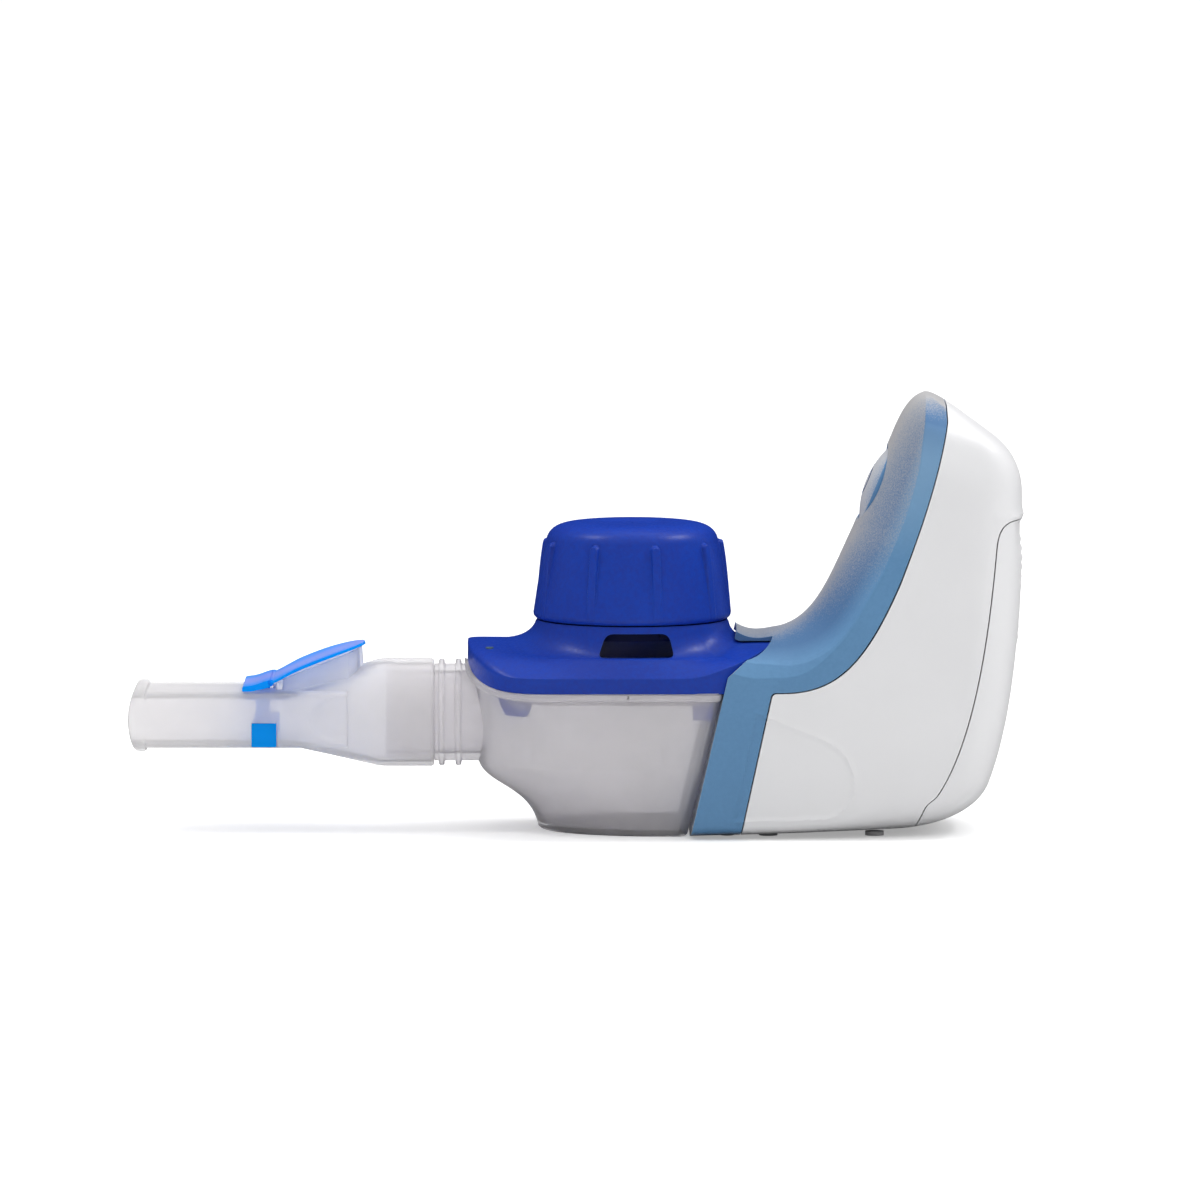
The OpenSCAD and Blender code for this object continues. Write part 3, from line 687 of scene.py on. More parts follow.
def painted_sheen(tree, colour, grain, tone, low, high, share):
    """Painted sheen: colour that turns to the tone at grazing view, less so low down, broken up by the
    moulded grain.
    """
    facing = node(tree, "LayerWeight", Blend=0.5).outputs["Facing"]
    fade = remap(tree, position(tree)["Z"], -0.3, 0.0, 0.044, 0.070)
    rough = math_node(tree, "ADD", fade, remap(tree, noise(tree, 1300 / grain, 3.0), -0.13, 0.13))
    amount = remap(tree, math_node(tree, "ADD", facing, rough), 0, share, low, high)
    return blend(tree, amount, colour, tone)


def cover_painted_light(tree, paint, face_shade):
    """Painted light: paler towards the cover's top end, where overhead light falls, and painted shade on its
    face between the rails.
    """
    _, y, z = position(tree)
    paint = blend(tree, remap(tree, z, 0, 1, 0.066, 0.100), paint, top_light_tone)
    face_shade_mask = remap(tree, math_node(tree, "ABSOLUTE", y), 1, 0, 0.020, 0.0265)
    return blend(tree, face_shade_mask, paint, face_shade)


def plastic(name, colour, shade_to, roughness, grain, strength, depth, gloss=0.5, ior=1.5, metallic=0.0,
            subsurface=0.0, mottle=0.0, edge_highlight=None, sheen=None, face_shade=None, mask=None, print_and_shade_tone=None):
    """Moulded plastic: slight colour drift, fine grain, uneven gloss, painted highlight along sharp edges,
    and where given painted sheen, painted light and shade on the cover, and a masked colour: printed symbol
    on the button, painted shade behind the lid's slots.
    """
    mat, tree = node_tree(name)
    drift = remap(tree, noise(tree, 45, 3), 0, 1)
    if mottle:
        drift = math_node(tree, "ADD", drift, remap(tree, noise(tree, 900, 3, 0.7), -mottle, mottle))
    paint = blend(tree, drift, colour, shade_to)
    # Painted top light and painted shade on the cover
    if face_shade:
        paint = cover_painted_light(tree, paint, face_shade)
    # Painted sheen: colour turns grey where the surface is seen at a grazing angle
    if sheen:
        paint = painted_sheen(tree, paint, grain, *sheen)
    # Painted highlight: sharp edges turn to a lighter tone
    if edge_highlight:
        paint = blend(tree, edge_mask(tree, 0.3, 2.2), paint, edge_highlight)
    # Masked colour: the printed symbol on the button, and painted shade inside the lid behind its slots
    if mask:
        paint = blend(tree, mask(tree), paint, print_and_shade_tone)
    rough = remap(tree, noise(tree, 700 / grain, 2), roughness - 0.05, roughness + 0.06)
    bsdf = node(tree, "BsdfPrincipled", Base_Color=paint, Roughness=rough, Specular_IOR_Level=gloss, IOR=ior,
                Metallic=metallic, Normal=grain_normal(tree, grain, strength, depth, 0.25))
    if subsurface:
        bsdf.inputs["Subsurface Weight"].default_value = subsurface
        bsdf.inputs["Subsurface Radius"].default_value = (1.0, 1.0, 1.2)
        bsdf.inputs["Subsurface Scale"].default_value = 0.002
    finish_material(tree, bsdf)
    return mat


def frosted(name, colour, clear):
    """Frosted plastic: milky scatter mixed with a blurred view through, with painted shade along sharp edges.
    """
    mat, tree = node_tree(name)
    normal = grain_normal(tree, 0.5, 0.1, 0.02, 0.2)
    edges = edge_mask(tree, 0.22, 3.0)
    drift = remap(tree, noise(tree, 60, 3), 0, 1)
    tint = blend(tree, drift, colour, tuple(0.975 * c for c in colour))
    # Painted shade along sharp edges
    tint = blend(tree, edges, tint, tuple(0.62 * c for c in colour))
    milk = node(tree, "BsdfDiffuse", Color=tint, Normal=normal)
    glow = node(tree, "BsdfTranslucent", Color=tint)
    blur = remap(tree, noise(tree, 500, 2), 0.17, 0.23)
    through = node(tree, "BsdfRefraction", Color=(1, 0.995, 1), Roughness=blur, IOR=1.07)
    see = remap(tree, noise(tree, 90, 2), clear - 0.02, clear + 0.02)
    see = math_node(tree, "SUBTRACT", see, product(tree, edges, 0.35), True)
    gloss = node(tree, "BsdfGlossy", Roughness=0.34, Normal=normal)
    rim = node(tree, "Fresnel", IOR=1.14, Normal=normal)
    mixed = mix_shader(tree, see, mix_shader(tree, 0.5, milk, glow), through)
    finish_material(tree, mix_shader(tree, product(tree, rim.outputs[0], 0.25), mixed, gloss))
    return mat


def silicone_sheet(name, side, top):
    """Translucent silicone: deep blue sides, with painted top light that turns faces that look up pale, less
    so towards the flap's side edges.
    """
    mat, tree = node_tree(name)
    split = node(tree, "SeparateXYZ")
    wire(tree, node(tree, "NewGeometry").outputs["Normal"], split.inputs[0])
    uneven = remap(tree, noise(tree, 120, 2), -0.06, 0.06)
    # Painted top light: paler where the surface looks up, weaker near the flap's sides
    up = remap(tree, math_node(tree, "ADD", split.outputs["Z"], uneven), 0, 1, 0.35, 0.92)
    inner = remap(tree, math_node(tree, "ABSOLUTE", position(tree)["Y"]), 1, 0.15, 0.003, 0.0132)
    up = product(tree, up, inner)
    rough = remap(tree, noise(tree, 900, 2), 0.38, 0.5)
    milk = node(tree, "BsdfPrincipled", Base_Color=blend(tree, up, side, top), Roughness=rough,
                Specular_IOR_Level=0.15, Normal=grain_normal(tree, 0.5, 0.12, 0.02, 0.2))
    # Painted light in the glow too: brighter where faces look up
    bright = blend(tree, up, side, tuple(min(1.0, 1.2 * c) for c in top))
    finish_material(tree, mix_shader(tree, 0.5, milk, node(tree, "BsdfTranslucent", Color=bright)))
    return mat


button_at = Vector((57.1, 0, 81.9))
button_tilt = math.radians(22.7)
face_out = Vector((-math.cos(button_tilt), 0, math.sin(button_tilt)))
button_r = 9.8
button_dome_r, button_proud = 22.0, 1.85
symbol_floor = 1.3


def symbol_mask(tree):
    """1 in the engraved power symbol: near the button's middle and under its dome."""
    point = node(tree, "TexCoord").outputs["Object"]

    def within(centre, radius):
        reach = node(tree, "VectorMath")
        reach.operation = "DISTANCE"
        reach.inputs[1].default_value = centre * MM
        wire(tree, point, reach.inputs[0])
        return math_node(tree, "LESS_THAN", reach.outputs["Value"], radius * MM)

    dome_centre = button_at + face_out * (button_proud - button_dome_r)
    return product(tree, within(dome_centre, button_dome_r - 0.02), within(button_at, 4.8))


def slot_shade_mask(tree):
    """1 inside the lid behind its air slots, where painted shade darkens it, 0 on its outer skin."""
    x, y, z = position(tree)
    squares = [product(tree, v, v) for v in (x, y)]
    sideways = math_node(tree, "ABSOLUTE", math_node(tree, "SUBTRACT", x, 1.0 * MM))
    inside_neck = math_node(tree, "LESS_THAN", math_node(tree, "ADD", *squares), (22.3 * MM) ** 2)
    under_cap = math_node(tree, "LESS_THAN", z, 48.5 * MM)
    return product(tree, inside_neck, under_cap, math_node(tree, "LESS_THAN", sideways, 9.6 * MM))


# Painted highlight tone along the sharp edges of the cover and the button
edge_highlight_tone = (0.26, 0.46, 0.70)
# Painted light tone for the cover's top end
top_light_tone = (0.30, 0.50, 0.70)
# Name: two colours, roughness, grain size, and strength and depth of the grain
plastics = {
    "white_shell": ((0.85, 0.85, 0.863), (0.83, 0.83, 0.844), 0.38, 0.6, 0.10, 0.02),
    "blue_cover": ((0.125, 0.285, 0.50), (0.115, 0.265, 0.47), 0.5, 0.42, 0.35, 0.03),
    "button_grey": ((0.11, 0.25, 0.47), (0.10, 0.235, 0.44), 0.5, 0.4, 0.3, 0.03),
    "board": ((0.012, 0.10, 0.035), (0.02, 0.13, 0.05), 0.35, 1.2, 0.15, 0.03),
    "metal": ((0.62, 0.61, 0.60), (0.52, 0.52, 0.53), 0.28, 0.7, 0.12, 0.01),
    "coil": ((0.55, 0.20, 0.06), (0.42, 0.14, 0.04), 0.32, 0.8, 0.4, 0.08),
    "tray": ((0.40, 0.41, 0.43), (0.37, 0.38, 0.40), 0.5, 0.5, 0.2, 0.03),
    "cells": ((0.03, 0.035, 0.045), (0.05, 0.055, 0.065), 0.3, 1.5, 0.08, 0.02),
    "contact_gold": ((0.82, 0.58, 0.20), (0.72, 0.48, 0.16), 0.22, 0.7, 0.1, 0.01),
    "feet": ((0.66, 0.66, 0.67), (0.60, 0.60, 0.61), 0.75, 0.4, 0.5, 0.05),
    "royal_blue": ((0.006, 0.048, 0.42), (0.010, 0.040, 0.36), 0.36, 0.5, 0.8, 0.05),
    "vent_grey": ((0.11, 0.19, 0.24), (0.09, 0.16, 0.21), 0.6, 0.4, 0.3, 0.03),
    "silicone": ((0.66, 0.67, 0.70), (0.60, 0.61, 0.64), 0.45, 0.6, 0.15, 0.02),
    "ceramic": ((0.62, 0.55, 0.40), (0.56, 0.50, 0.36), 0.55, 0.5, 0.3, 0.03),
}
extras = {
    "white_shell": {"gloss": 0.4},
    # Blue cover: painted edge highlight, painted sheen, painted top light and painted shade between the rails
    "blue_cover": {"gloss": 0.3, "edge_highlight": edge_highlight_tone, "sheen": ((0.48, 0.47, 0.47), 0.40, 0.74, 0.95),
                   "mottle": 0.6, "face_shade": (0.085, 0.195, 0.38)},
    # Button: painted edge highlight and painted sheen; the symbol colour is print
    "button_grey": {"gloss": 0.3, "edge_highlight": edge_highlight_tone, "sheen": ((0.56, 0.57, 0.60), 0.36, 0.70, 0.97),
                    "mask": symbol_mask, "print_and_shade_tone": (0.012, 0.05, 0.20)},
    "metal": {"metallic": 1.0},
    "coil": {"metallic": 0.8},
    "contact_gold": {"metallic": 1.0},
    # Royal blue: painted edge highlight and painted shade behind the slots
    "royal_blue": {"edge_highlight": (0.03, 0.12, 0.60), "mottle": 0.7, "ior": 1.45, "mask": slot_shade_mask,
                   "print_and_shade_tone": (0.0, 0.004, 0.06)},
    "silicone": {"subsurface": 0.4},
}
mats = {name: plastic(name, *values, **extras.get(name, {})) for name, values in plastics.items()}
mats["frosted"] = frosted("frosted", (0.915, 0.895, 0.91), 0.53)
mats["mouth_frosted"] = frosted("mouth_frosted", (0.945, 0.935, 0.94), 0.50)
mats["valve_blue"] = silicone_sheet("valve_blue", (0.0, 0.46, 1.0), (0.42, 0.52, 0.95))


# ---- handle pieces
def pocket_cutters():
    """Room in the cover for the rear of the lid, leaving the tongue above it."""
    line = lid_outline(-0.28, 0.8)
    tongue = 45.4
    low = upright("cut_pocket", line, side_z - 0.5, tongue)
    high = upright("cut_pocket_high", line, side_z, 60)
    combine(high, [box_solid("tongue", (0, -12, tongue), (60, 12, 75))])
    cone = lathe("cut_cone", [(0, tongue - 0.1), (28, tongue - 0.1), (23.8, tongue + 2.3), (0, tongue + 2.3)])
    # The side corners fall away along the lid's rear edge
    slope = [(10, 38.0), (22.0, 38.0), (31.6, 46.4), (31.6, 60), (10, 60)]
    return [low, high, cone] + [across("cut_corner", slope, 14, s * 27) for s in (-1, 1)]


form = handle_points()

cover = loft("cover_shell", form)
combine(cover, [cover_side(0)], "INTERSECT")
combine(cover, [hollow()] + pocket_cutters())
combine(cover, [rod("cut_button", on_face(-9), on_face(9), button_r + 0.05, 160),
                rod("cut_flange", on_face(-12), on_face(-3.05), button_r + 1.2)])
combine(cover, [rod("cut_pin", (30, y, pin_z), (40, y, pin_z), 1.05, 32) for y in pin_ys])
finish_piece(cover, "handle", "blue_cover", "front_cover", 24)

housing = loft("housing_shell", form)
# The corner of the door under its hinge line sweeps through this small relief
hinge_x, hinge_z = 66.55, 1.6
hinge_relief = box_solid("cut_hinge", (hinge_x - 1.3, -60, -2), (hinge_x + 1, 60, hinge_z + 0.3))
combine(housing, [cover_side(seam), door_side(-seam), hollow(), hinge_relief])
finish_piece(housing, "handle", "white_shell", "handle_housing", 24)

door = loft("door_shell", form)
combine(door, [door_side(0)], "INTERSECT")
combine(door, [hollow()])
finish_piece(door, "door", "white_shell", "battery_door", 24)


def power_cap():
    """Domed button with a rounded edge and an engraved power symbol."""
    dome_r, proud, r = button_dome_r, button_proud, button_r
    flange = [(0.0, -4.5), (r + 1, -4.5), (r + 1, -3.1), (r, -3.1)]
    top = [(x, proud - dome_r + math.sqrt(dome_r ** 2 - x ** 2)) for x in np.linspace(r, 0, 60)[:-1]]
    edge = corner((r, -1.5), top[0], top[6], 0.45, 8)
    profile = flange + [tuple(p) for p in edge] + top[4:] + [(0, proud)]
    obj = lathe("button_cap", profile, 200)
    place = Vector((0, 0, 1)).rotation_difference(face_out).to_matrix().to_4x4()
    place.translation = button_at * MM
    obj.data.transform(place)
    return obj


def symbol_solids():
    """Open ring and bar, as bodies to cut into the button's top."""
    up = Vector((math.sin(button_tilt), 0, math.cos(button_tilt)))
    side = Vector((0, 1, 0))

    def prism(name, points):
        return loft(name, [[tuple(button_at + up * a + side * b + face_out * z) for a, b in points]
                           for z in (symbol_floor, 3)])

    gap = math.radians(24)
    ang = np.linspace(gap, 2 * math.pi - gap, 60)
    ring = [(r * math.cos(a), r * math.sin(a)) for r, turn in ((3.5, 1), (2.75, -1)) for a in ang[::turn]]
    bar = [(0.9, -0.38), (4.2, -0.38), (4.2, 0.38), (0.9, 0.38)]
    return [prism("cut_ring", ring), prism("cut_bar", bar)]


button = power_cap()
combine(button, symbol_solids())
finish_piece(button, "button", "button_grey", "power_button", 30)


# ---- medication head
def lid_piece():
    """Lid as a closed skin, with air slots, clip tabs and pad recesses."""
    steps = np.concatenate([[0, 0.006, 0.014, 0.025], np.linspace(0.04, 0.40, 22), [0.412, 0.428],
                            np.linspace(0.44, 0.8, 14), np.linspace(0.82, 0.985, 12), [0.992, 0.997, 1]])
    inner_r = 20.2
    loops = []
    for p in lid_outline():
        r1 = math.hypot(*p)
        ri = r1 - lid_wall
        rf = mix(neck_r, r1, flank)
        zb = float(rim_z(p[0], p[1]))
        top = [[r, lid_surface(p, q)] for r, q in zip(mix(neck_r, r1, steps), steps)]
        zt = top[-1][1]
        edge = [[r1, mix(zt, zb, f)] for f in (0.12, 0.3, 0.5, 0.7, 0.88)]
        under = [[r1, zb + 0.25], [r1 - 0.07, zb + 0.07], [r1 - 0.25, zb], [ri, zb], [ri, zt - lid_wall],
                 [rf - lid_wall, lid_surface(p, flank) - lid_wall], [neck_r - lid_wall, neck_z - 3],
                 [inner_r, neck_z - 3], [inner_r, neck_z - 0.2], [inner_r + 0.2, neck_z],
                 [neck_r - 0.25, neck_z]]
        loops.append([(p[0] / r1 * r, p[1] / r1 * r, z) for r, z in top[1:] + edge + under])
    obj = loft("lid_shell", loops, closed=True)
    slot = rounded([(-8.1, 42.4), (9.9, 42.4), (8.5, 48.0), (-6.2, 48.0)], [1.5, 1.5, 2.0, 2.0], 8)
    combine(obj, [across("cut_slot", slot, 5, s * 24.2) for s in (-1, 1)])
    # Clip tabs just inside the chamber's wall
    front = rounded([(-34.0, 39.2), (-29.8, 28.6), (-24.6, 28.6), (-20.4, 39.6)], [0.1, 0.9, 0.9, 0.1], 5)
    rear = rounded([(13.9, 39.6), (14.2, 28), (18.6, 28), (19.6, 39.6)], [0.1, 0.3, 0.3, 0.1], 4)
    tabs = []
    for s in (-1, 1):
        tabs += [across("tab_front", front, 0.6, s * 21.7), across("tab_rear", rear, 0.7, s * 24.9)]
        # The front tab turns with the curve of the nose
        for v in tabs[-2].data.vertices:
            v.co.y += s * 0.62 * (v.co.x + 27 * MM)
    combine(obj, tabs, "UNION")
    x, y, _ = np.mean(box_mm("vent_plug"), 0)
    combine(obj, [rod("cut_vent", (x, y, 40), (x, y, 49), 0.97, 40)])
    pad = (1.65, 2.05)
    combine(obj, [box_solid("cut_pad", (rear_x - 1.15, y - pad[0], pin_z - pad[1]),
                            (rear_x + 2, y + pad[0], pin_z + pad[1])) for y in pin_ys])
    return obj


finish_piece(lid_piece(), "head", "royal_blue", "lid", 26)


def cap_piece():
    """Screw cap: dense lathe with wedge-shaped grip ribs and a shallow dimple on top."""
    r, rt = 23.4, 20.4
    z0, z1 = (corner_at[2] for corner_at in box_mm("cap"))
    inner_r, bore_r, dimple = 18, 19.6, 0.45
    outer = np.vstack([
        corner((r - 1.6, z0), (r - 0.8, z0), (r, z0 + 0.8), 0.3, 4),
        corner((r - 0.8, z0), (r, z0 + 0.8), (r - 0.1, z0 + 2), 0.5, 5),
        bezier((r - 0.03, z0 + 1.4), (r - 0.9, z0 + 7), (rt + 1.2, z0 + 14), (rt, z1 - 4.6), 60),
        bezier((rt, z1 - 4.6), (rt - 0.6, z1 - 1.6), (rt - 2.8, z1 - 0.5), (rt - 6.6, z1 - 0.2), 26)[1:],
        bezier((rt - 6.6, z1 - 0.2), (rt - 9, z1 - 0.02), (9.5, z1), (8.1, z1), 14)[1:],
        [(7.5, z1 - 0.06), (6.9, z1 - 0.24), (6.3, z1 - 0.36), (5.4, z1 - 0.42), (3, z1 - dimple),
         (0.4, z1 - dimple)]])
    inner = [(0.4, z0 + 17.2), (inner_r - 0.8, z0 + 17.2), (inner_r, z0 + 16.4), (inner_r, z0 + 14),
             (bore_r, z0 + 13.4), (bore_r, z0 + 0.6), (bore_r + 0.6, z0)]
    profile = np.vstack([outer, inner])
    z = profile[:, 1]
    zo = z[:len(outer)]
    ribs, rib_rise, rib_half_w, rib_edge = 9, 1.15, 0.85, 0.34
    first = math.radians(-90 + 15)
    pitch = 2 * math.pi / ribs
    dense = 0.085
    local = pitch * np.concatenate([np.linspace(-0.5, -dense, 11)[:-1], np.linspace(-dense, dense, 31),
                                    np.linspace(dense, 0.5, 11)[1:-1]])
    # How far each height lies past the lower or the upper end of a rib
    past = np.maximum(z0 + 0.9 - zo, 0) + np.maximum(zo - (z1 - 5.5), 0)
    rise = rib_rise * np.clip((zo - z0) / (z1 - z0 - 4), 0, 1) * (zo < z1 - 3)
    loops = []
    for k in range(ribs):
        for off in local:
            a = first + k * pitch + off
            radii = profile[:, 0].copy()
            dist = np.hypot(abs(off) * radii[:len(outer)], past)
            radii[:len(outer)] += rise * (1 - smoothstep((dist - rib_half_w) / rib_edge))
            loops.append(np.stack([radii * math.cos(a), radii * math.sin(a), z], 1))
    return loft("cap_shell", loops, closed=True)


finish_piece(cap_piece(), "cap", "royal_blue", "cap", 35)


# ---- aerosol chamber
def chamber_piece():
    """Chamber with its beaded outlet, hollow and open at the top and at the port."""
    top = [chamber_ring(0, d, lift) for d, lift in ((-0.7, 0), (-0.7, -0.9), (-0.45, -1.15), (0, -1.5))]
    ts = np.concatenate([np.linspace(0, nose_bend, 40)[4:], np.linspace(nose_bend, 1, 60)[1:]])
    outer = top + [chamber_ring(t) for t in ts]
    # Rounded base edge
    base = outer[-1].copy()
    centre = base.mean(0)
    outer[-1] = base + [0, 0, 0.55]
    for f, dz in ((0.985, 0.2), (0.965, 0.03), (0.94, 0.0)):
        outer.append(centre + (base - centre) * [f, f, 1] + [0, 0, dz])
    solid = loft("chamber_shell", outer)
    neck_line = [(0.4, -33), (11.5, -33)]
    bead = [(11.5, 0), (11.6, 0.15), (12.3, 0.2), (12.62, 0.5), (12.62, 1.2), (12.3, 1.5), (11.6, 1.55),
            (11.5, 1.7)]
    neck_line += [(r, x - dx) for x in (-40.25, -44.2) for r, dx in bead]
    neck_line += [(11.5, -46.7), (11.0, -46.8), (11.0, -57.4), (10.6, -57.9), (0.4, -57.9)]
    combine(solid, [lathe("neck", neck_line, axis="X", at=(0, 0, port_z))], "UNION")
    inner = [chamber_ring(0, 3.0, 1.5), chamber_ring(0, 3.0, -1.6), chamber_ring(0, wall, -2.6)]
    inner += [chamber_ring(t, wall) for t in np.linspace(0.06, 0.93, 60)]
    inner.append(chamber_ring(1, wall, wall))
    combine(solid, [loft("cut_inside", inner)])
    return combine(solid, [rod("cut_port", (-70, 0, port_z), (-30, 0, port_z), 9.2, 120)])


finish_piece(chamber_piece(), "chamber", "frosted", "chamber", 26)


# ---- mouthpiece with its valve
flap_at = Vector((-85, 0, 35.6))
tilt = math.radians(21.4)
flap_up = Vector((-math.sin(tilt), 0, math.cos(tilt)))
flap_along = Vector((math.cos(tilt), 0, math.sin(tilt)))
flap_half_w, flap_len = 13.2, 23.4
tower = (-84.1, -63.2, 8.2)


def beside_flap(pairs):
    """Outline in X and Z from pairs of distance along the flap and height above it."""
    points = [flap_at + flap_along * a + flap_up * b for a, b in pairs]
    return [(p[0], p[2]) for p in points]


def tower_line(inset):
    """Outline of the vent tower from above, with a curved side towards the socket."""
    x0, x1, w = tower[0] + inset, tower[1] - inset, tower[2] - inset
    r = 11.0
    line = []
    end = math.asin(min(w / r, 1))
    for a in np.linspace(-end, end, 40):
        line.append((x1 - r + r * math.cos(a), r * math.sin(a)))
    a = np.linspace(0, math.pi / 2, 8)
    line += [(x0 + 2 - 2 * math.sin(v), w - 2 + 2 * math.cos(v)) for v in a]
    line += [(x0 + 2 - 2 * math.cos(v), -w + 2 - 2 * math.sin(v)) for v in a]
    return line


def scooped(ring, x):
    """Shallow thumb scoop on each side of the tube's inner end."""
    if x > -67.2 or x < -76.5:
        return ring
    out = ring.copy()
    u = (x + 67.2) / 8.8
    v = (ring[:, 2] - 26.8) / 5.6
    depth = 0.9 * np.clip(1 - u * u - v * v, 0, 1) ** 0.6
    sides = np.abs(ring[:, 1]) > 6
    out[:, 1] -= np.where(sides, np.sign(ring[:, 1]) * depth, 0)
    return out


def mouthpiece_piece():
    """Tube with its lip bead, cone, socket and vent tower, then the bore and the openings."""
    xs = np.concatenate([[-67.2, -67.22], np.linspace(-67.5, -84, 50), np.linspace(-84.6, -115.2, 50)])
    outer = [scooped(mouth_ring(x, square=0.13, flat=True), x) for x in xs]
    lip = [(-115.6, 0.25), (-115.9, 0.75), (-116.4, 0.95), (-117.4, 1.0), (-118.2, 0.9), (tip_x + 0.15, 0.6),
           (tip_x, 0.2), (tip_x, -0.6), (tip_x + 0.2, -1.2), (tip_x + 0.6, -1.45), (tip_x + 2.5, -wall)]
    # The last ring closes the tube; the bore is cut through it below
    solid = loft("mouthpiece_shell", outer + [mouth_ring(x, grow) for x, grow in lip])
    cone = loft("cone", [mouth_ring(x, start_w=11.6, square=0.45) for x in np.linspace(-57.5, -86, 70)])
    combine(solid, [cone], "UNION")
    r, x1 = socket_r, socket_x
    socket_line = [(0.4, -58.6), (r - 0.09, -58.6), (r - 0.09, -58.35), (r, -58.25), (r, x1 - 0.5),
                   (r - 0.3, x1 - 0.08), (r - 0.6, x1), (0.4, x1)]
    socket = lathe("socket", socket_line, axis="X", at=(0, 0, port_z))

    def tower_solid(name, inset, low):
        levels = ((inset - 0.5, low), (inset + 0.9, 46.0))
        return loft(name, [[(x, y, z) for x, y in tower_line(at)] for at, z in levels])

    block = tower_solid("tower", 0, port_z)
    combine(block, [across("above", beside_flap([(-60, -0.6), (60, -0.6), (60, 80), (-60, 80)]))])
    combine(solid, [socket, block], "UNION")
    bore_xs = np.concatenate([np.linspace(-56.5, -84, 40), np.linspace(-85, tip_x + 0.7, 30), [tip_x - 2]])
    combine(solid, [loft("cut_tube", [mouth_ring(x, -wall) for x in bore_xs])])
    return combine(solid, [tower_solid("cut_well", wall, tube_cz),
                           rod("cut_socket", (-58.2, 0, port_z), (x1 + 1, 0, port_z), spigot_r + 0.05, 140),
                           rod("cut_step", (-60, 0, port_z), (x1, 0, port_z), 9.4),
                           box_solid("cut_window", (-89.75, -20, 20.35), (-83.85, 20, 26.05)),
                           box_solid("cut_stem", (-89.05, -3.05, 28), (-84.95, 3.05, 36))])


finish_piece(mouthpiece_piece(), "mouthpiece", "mouth_frosted", "mouthpiece", 26)


def crease_rod(name, half, radius):
    side = Vector((0, half, 0))
    return rod(name, flap_at - side, flap_at + side, radius, 40)


def flap_piece():
    """Thin silicone flap: flat along the crease, slightly cupped towards the round tip."""
    n_u, n_v = 60, 44
    straight = flap_len - flap_half_w
    rings = []
    for i in range(n_u + 1):
        a = flap_len * (i / n_u)
        half = flap_half_w if a <= straight else math.sqrt(max(flap_half_w ** 2 - (a - straight) ** 2, 0.0))
        half = max(half, 0.6)
        top, bottom = [], []
        for j in range(n_v + 1):
            v = 2 * j / n_v - 1
            y = half * v
            cup = 0.55 * (y / flap_half_w) ** 2 * smoothstep(a / 8) + 0.25 * math.sin(math.pi * a / flap_len)
            thick = 0.5 - 0.16 * abs(v) ** 6
            on_sheet = flap_at + flap_along * a + Vector((0, y, 0))
            top.append(tuple(on_sheet + flap_up * (cup + thick - 0.1)))
            bottom.append(tuple(on_sheet + flap_up * (cup - thick)))
        rings.append(top + bottom[::-1])
    return combine(loft("flap_sheet", rings), [crease_rod("crease", 13, 0.62)], "UNION")


finish_piece(flap_piece(), "flap", "valve_blue", "valve_flap", 40)


def anchor_piece():
    """Cross strap, stem and the wedge that holds the flap's crease."""
    square = rounded([(-89.7, 20.4), (-83.9, 20.4), (-83.9, 26), (-89.7, 26)], 0.3, 4)
    strap = across("anchor_block", square, tip_half_w - 0.1)
    line = [(-91.9, 33.5), (-89.6, 33.55), (-86.2, 34.3), (-84.7, 34.9), (-85.0, 36.3), (-86.4, 36.0),
            (-89, 35.0), (-91.9, 34.6)]
    wedge = across("wedge", rounded(line, [0.3, 0.8, 0.8, 0.2, 0.3, 0.8, 1.2, 0.4], 5), flap_half_w)
    sheet = beside_flap([(0, -0.6), (10, -0.6), (10, 6), (0, 6)])
    combine(wedge, [crease_rod("cut_crease", 20, 0.7), across("cut_sheet", sheet, 20)])
    return combine(strap, [box_solid("stem", (-89, -3, 25), (-85.8, 3, 33.9)), wedge], "UNION")


finish_piece(anchor_piece(), "mouthpiece", "valve_blue", "valve_anchor", 30)


# ---- CAD nodes that stay visible
shown_slots = {s["node"]: s["material_slot"] for s in frame["record"]["subparts"]}
for name, obj in frame["nodes"].items():
    if obj.hide_render:
        continue
    obj.data.materials.clear()
    obj.data.materials.append(mats[shown_slots[name]])


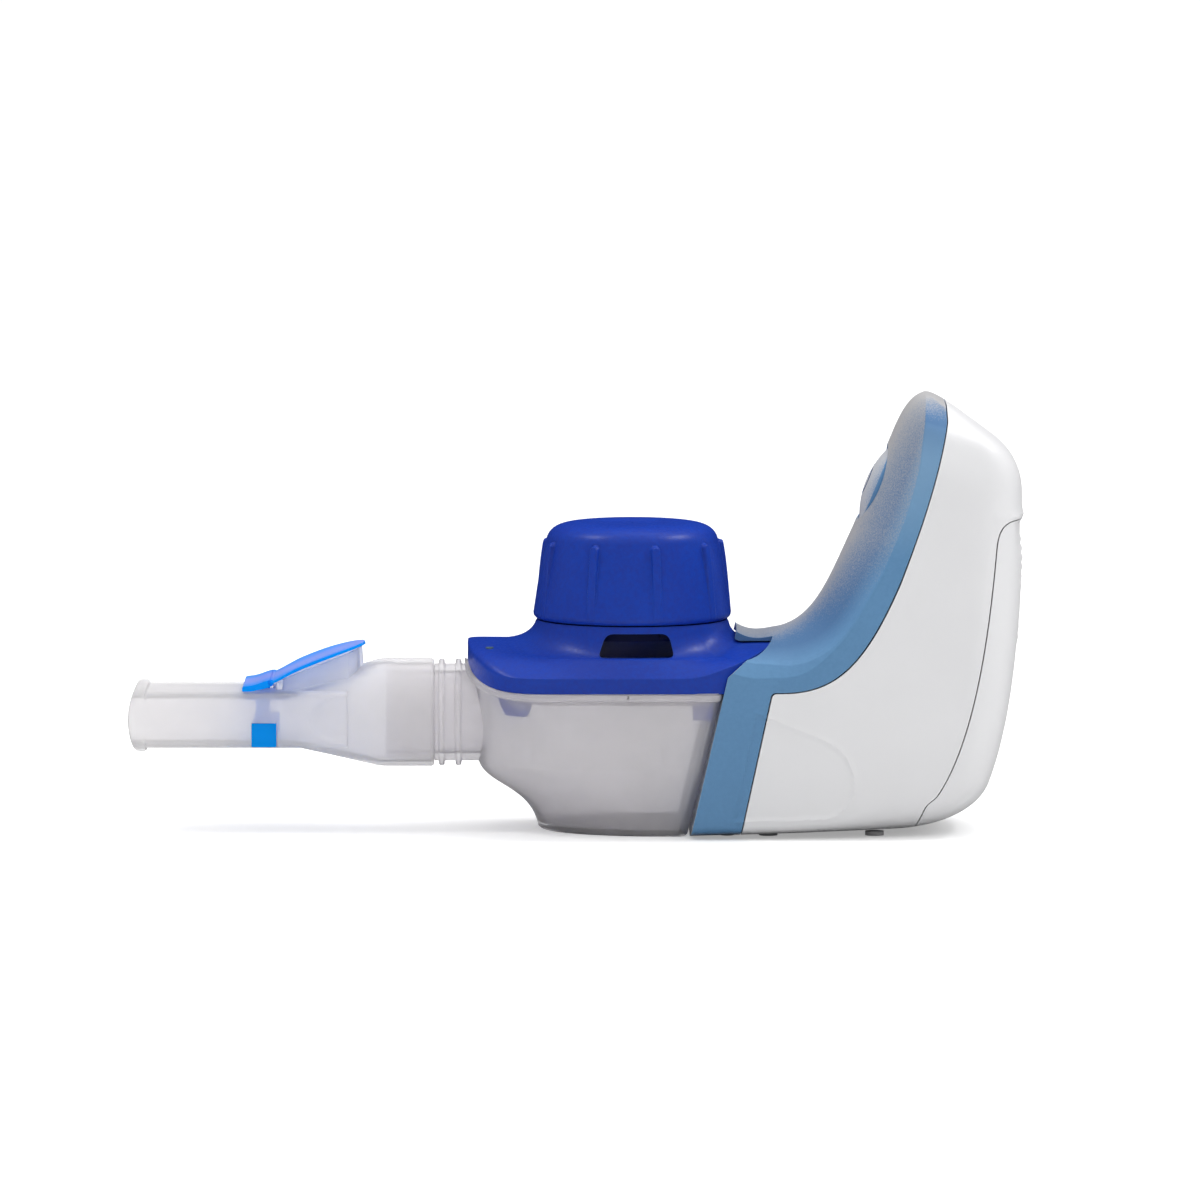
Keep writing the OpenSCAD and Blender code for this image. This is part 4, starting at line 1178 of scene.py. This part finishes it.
# ---- studio
def floor_piece():
    """Plain table, lifted to white in the picture without adding light from below."""
    s = 30000
    obj = new_object("studio_floor", [(-s, -s, 0), (s, -s, 0), (s, s, 0), (-s, s, 0)], [(0, 1, 2, 3)])
    mat, tree = node_tree("pale_floor")
    seen = product(tree, node(tree, "LightPath").outputs["Is Camera Ray"], 0.34)
    both = node(tree, "AddShader")
    wire(tree, node(tree, "BsdfDiffuse", Color=(0.76, 0.76, 0.76)).outputs[0], both.inputs[0])
    wire(tree, node(tree, "Emission", Strength=seen).outputs[0], both.inputs[1])
    finish_material(tree, both)
    obj.data.materials.append(mat)
    obj.visible_glossy = False


def studio_world():
    """White surround, brighter above and behind, that reflections don't see."""
    world = bpy.data.worlds.new("studio")
    bpy.context.scene.world = world
    world.use_nodes = True
    sky = world.node_tree
    sky.nodes.clear()
    _, y, z = position(sky, "Generated")
    above = remap(sky, z, 0.0, 1.15, 0.2, 0.85, "SMOOTHSTEP")
    behind = remap(sky, y, 0.32, 0.85, -0.5, 0.8, "SMOOTHSTEP")
    glow = node(sky, "Background", Color=(1, 1, 1), Strength=math_node(sky, "MAXIMUM", above, behind))
    wire(sky, glow.outputs[0], node(sky, "OutputWorld").inputs[0])
    world.cycles_visibility.glossy = False


floor_piece()
studio_world()


def softbox(name, at, size, watts, shines=True):
    """Rectangular light aimed at the object; shines tells whether reflections show it."""
    light = bpy.data.lights.new(name, "AREA")
    light.shape = "RECTANGLE"
    light.size, light.size_y = size
    light.energy = watts
    obj = bpy.data.objects.new(name, light)
    bpy.context.scene.collection.objects.link(obj)
    obj.location = at
    obj.visible_glossy = shines
    obj.rotation_euler = (Vector((0, 0, 0.05)) - Vector(at)).to_track_quat("-Z", "Y").to_euler()


softbox("top_soft", (0.2, 0.45, 1.45), (1.1, 0.9), 8.5, shines=False)
softbox("key_right", (0.95, 0.05, 1.2), (0.17, 0.17), 4)
softbox("key_left", (-0.8, -0.1, 1.3), (0.17, 0.17), 2.6)
softbox("right_front", (0.75, -1.1, 1.1), (0.2, 0.2), 2.2, shines=False)

# ---- camera
cam_data = bpy.data.cameras.new("camera")
cam_data.sensor_width = 36
cam_data.lens = 317
cam = bpy.data.objects.new("camera", cam_data)
bpy.context.scene.collection.objects.link(cam)
rise = math.radians(5.2)
distance = 2.5
target = Vector((-7.6, 0, 54.0)) * MM
cam.location = target + distance * Vector((0, -math.cos(rise), math.sin(rise)))
cam.rotation_euler = (target - cam.location).to_track_quat("-Z", "Y").to_euler()
cam_data.clip_end = 100
bpy.context.scene.camera = cam
bpy.context.scene.view_settings.view_transform = "Standard"
